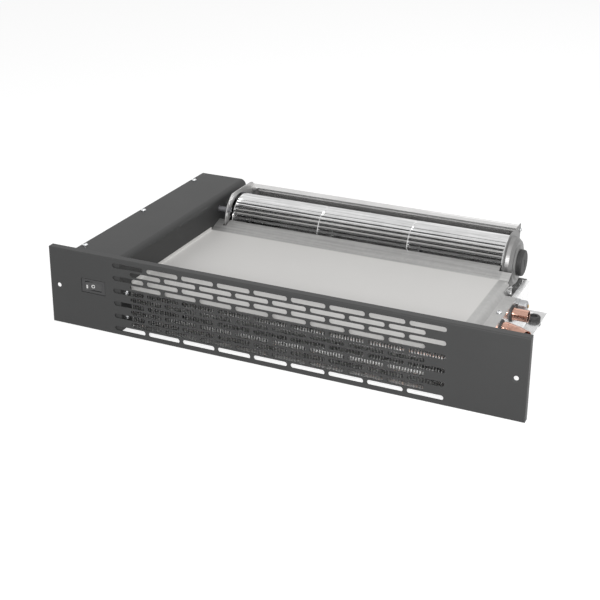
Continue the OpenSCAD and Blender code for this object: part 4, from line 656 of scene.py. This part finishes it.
def painted(name, base, peel, spread, roughness, bump, wear):
    """Sprayed or powder-coated steel that is worn a little lighter along its edges."""
    material, tree, shader = new_finish(name, IOR=1.5, Specular_IOR_Level=0.3)
    skin = use(tree, grain, {"Size": peel, "Spread": spread})
    haze = use(tree, smears_and_painted_streaks, {"Size": 0.07, "Spread": 0.2})
    rim = use(tree, edges, {"Radius": EDGE_SOFTNESS})
    rub = add(tree, "MapRange", {"Value": rim.outputs["Mask"], "To Min": 1.0, "To Max": wear})
    shade = sums(tree, "MULTIPLY", sums(tree, "MULTIPLY", skin.outputs["Value"],
                                        haze.outputs["Value"]), rub.outputs[0])
    feed(tree, shader, Base_Color=tinted(tree, base, shade),
         Roughness=sums(tree, "MULTIPLY", haze.outputs["Value"], roughness),
         Normal=bumped(tree, skin.outputs["Height"], strength=bump, depth=0.0002,
                       normal=rim.outputs["Normal"]))
    return material


dress(painted("satin_grey_paint", BOX_GREY, peel=0.0012, spread=0.1, roughness=0.46, bump=0.08,
              wear=1.6), "control_tray", "control_cover")

# Mains side: a natural nylon terminal block with brass ways, a black nylon cable gland, and the
# single-core wires that run from the switch to the motor.
BLOCK_NYLON = (0.72, 0.69, 0.6)
GLAND_BLACK = (0.03, 0.03, 0.031)
WIRES = {"switch_wires": (0.16, 0.06, 0.03), "motor_wires": (0.04, 0.12, 0.4),
         "thermostat_lead": (0.035, 0.035, 0.036)}
EARTH_GREEN = (0.08, 0.3, 0.05)
EARTH_YELLOW = (0.75, 0.6, 0.05)
STRIPE_PITCH = 0.004
STRIPE_ENDS = (0.62, 0.68)


def moulded(name, base, roughness, bump):
    """Injection-moulded nylon with a fine skin."""
    material, tree, shader = new_finish(name, IOR=1.5)
    skin = use(tree, grain, {"Size": 0.0005, "Spread": 0.3})
    cast = use(tree, smears_and_painted_streaks, {"Size": 0.01, "Spread": 0.2})
    rim = use(tree, edges, {"Radius": 0.0003})
    feed(tree, shader, Base_Color=tinted(tree, base, cast.outputs["Value"]),
         Roughness=sums(tree, "MULTIPLY", skin.outputs["Value"], roughness),
         Normal=bumped(tree, skin.outputs["Height"], strength=bump, depth=0.0001,
                       normal=rim.outputs["Normal"]))
    return material


dress(moulded("natural_nylon", BLOCK_NYLON, roughness=0.45, bump=0.1), "terminal_block")
dress(moulded("black_nylon", GLAND_BLACK, roughness=0.42, bump=0.2), "cable_gland", "gland_nut",
      "pipe_thermostat")
for node, tint in WIRES.items():
    dress(moulded(node + "_sleeve", tint, roughness=0.4, bump=0.05), node)

earth, tree, shader = new_finish("green_and_yellow_sleeve", IOR=1.5)
stripes = banded(tree, (1, 1, 1), STRIPE_PITCH)
cut = add(tree, "MapRange", {"Value": stripes, "From Min": STRIPE_ENDS[0],
                             "From Max": STRIPE_ENDS[1]})
sleeve = use(tree, grain, {"Size": 0.0008, "Spread": 0.3})
feed(tree, shader,
     Base_Color=add(tree, "Mix", {"Factor": cut.outputs[0], 6: colour(EARTH_GREEN),
                                  7: colour(EARTH_YELLOW)}, data_type="RGBA").outputs[2],
     Roughness=sums(tree, "MULTIPLY", sleeve.outputs["Value"], 0.4))
dress(earth, "earth_wire")

# Switch: a black nylon body clipped into the panel, with a glossier rocker. The two marks on the
# rocker, a bar and a ring, are printed in pale ink.
SWITCH_BLACK = (0.032, 0.032, 0.033)
ROCKER_BLACK = (0.045, 0.045, 0.046)
MARK_INK = (0.55, 0.55, 0.54)
MARK_LIFT = 0.00006
IN_FRONT = -1
RING_OFFSET = (-0.0012, -0.0002)
RING_RADII = (0.0013, 0.0023)
RING_SIDES = 28
BAR_OFFSET = (-0.0085, -0.0006)
BAR_SIZE = (0.0018, 0.0044)
BAR_STEPS = (3, 5)

dress(moulded("switch_nylon", SWITCH_BLACK, roughness=0.38, bump=0.15), "switch_body")
dress(moulded("rocker_nylon", ROCKER_BLACK, roughness=0.25, bump=0.05), "rocker")

low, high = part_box("rocker")
middle = (low + high) / 2
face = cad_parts["rocker"].data
tree_of_faces = BVHTree.FromPolygons([vertex.co for vertex in face.vertices],
                                     [polygon.vertices for polygon in face.polygons])


def printed(offset, across, up):
    """The point of the rocker's face at a mark's offset, a coat of ink in front of it."""
    start = Vector((middle.x + offset[0] + across, IN_FRONT, middle.z + offset[1] + up))
    point, normal, _, _ = tree_of_faces.ray_cast(start, Vector((0, 1, 0)))
    return point + normal * MARK_LIFT


marks = bmesh.new()
loops = []
for radius in RING_RADII:
    angles = [2 * math.pi * k / RING_SIDES for k in range(RING_SIDES)]
    loops.append([marks.verts.new(printed(RING_OFFSET, radius * math.cos(angle),
                                          radius * math.sin(angle))) for angle in angles])
for k in range(RING_SIDES):
    after = (k + 1) % RING_SIDES
    marks.faces.new((loops[0][k], loops[0][after], loops[1][after], loops[1][k]))
grid = [[marks.verts.new(printed(BAR_OFFSET, BAR_SIZE[0] * (i / BAR_STEPS[0] - 0.5),
                                 BAR_SIZE[1] * (j / BAR_STEPS[1] - 0.5)))
         for j in range(BAR_STEPS[1] + 1)] for i in range(BAR_STEPS[0] + 1)]
for left, right in zip(grid, grid[1:]):
    for j in range(BAR_STEPS[1]):
        marks.faces.new((left[j], right[j], right[j + 1], left[j + 1]))
ink, tree, shader = new_finish("pale_ink", IOR=1.5)
thin = use(tree, grain, {"Size": 0.0005, "Spread": 0.5})
feed(tree, shader, Base_Color=tinted(tree, MARK_INK, thin.outputs["Value"]),
     Roughness=sums(tree, "MULTIPLY", thin.outputs["Value"], 0.5))
new_piece("rocker_marks", marks, ink, "switch_rocker", smooth=False)

# Front panel: sheet steel with rows of slots and folded edges, powder-coated in a fine-textured
# black that lightens where the slots' edges were punched.
PANEL_BLACK = (0.042, 0.0423, 0.0423)

dress(painted("black_powder_coat", PANEL_BLACK, peel=0.0007, spread=0.16, roughness=0.5, bump=0.16,
              wear=1.5), "front_panel")

low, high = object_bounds()
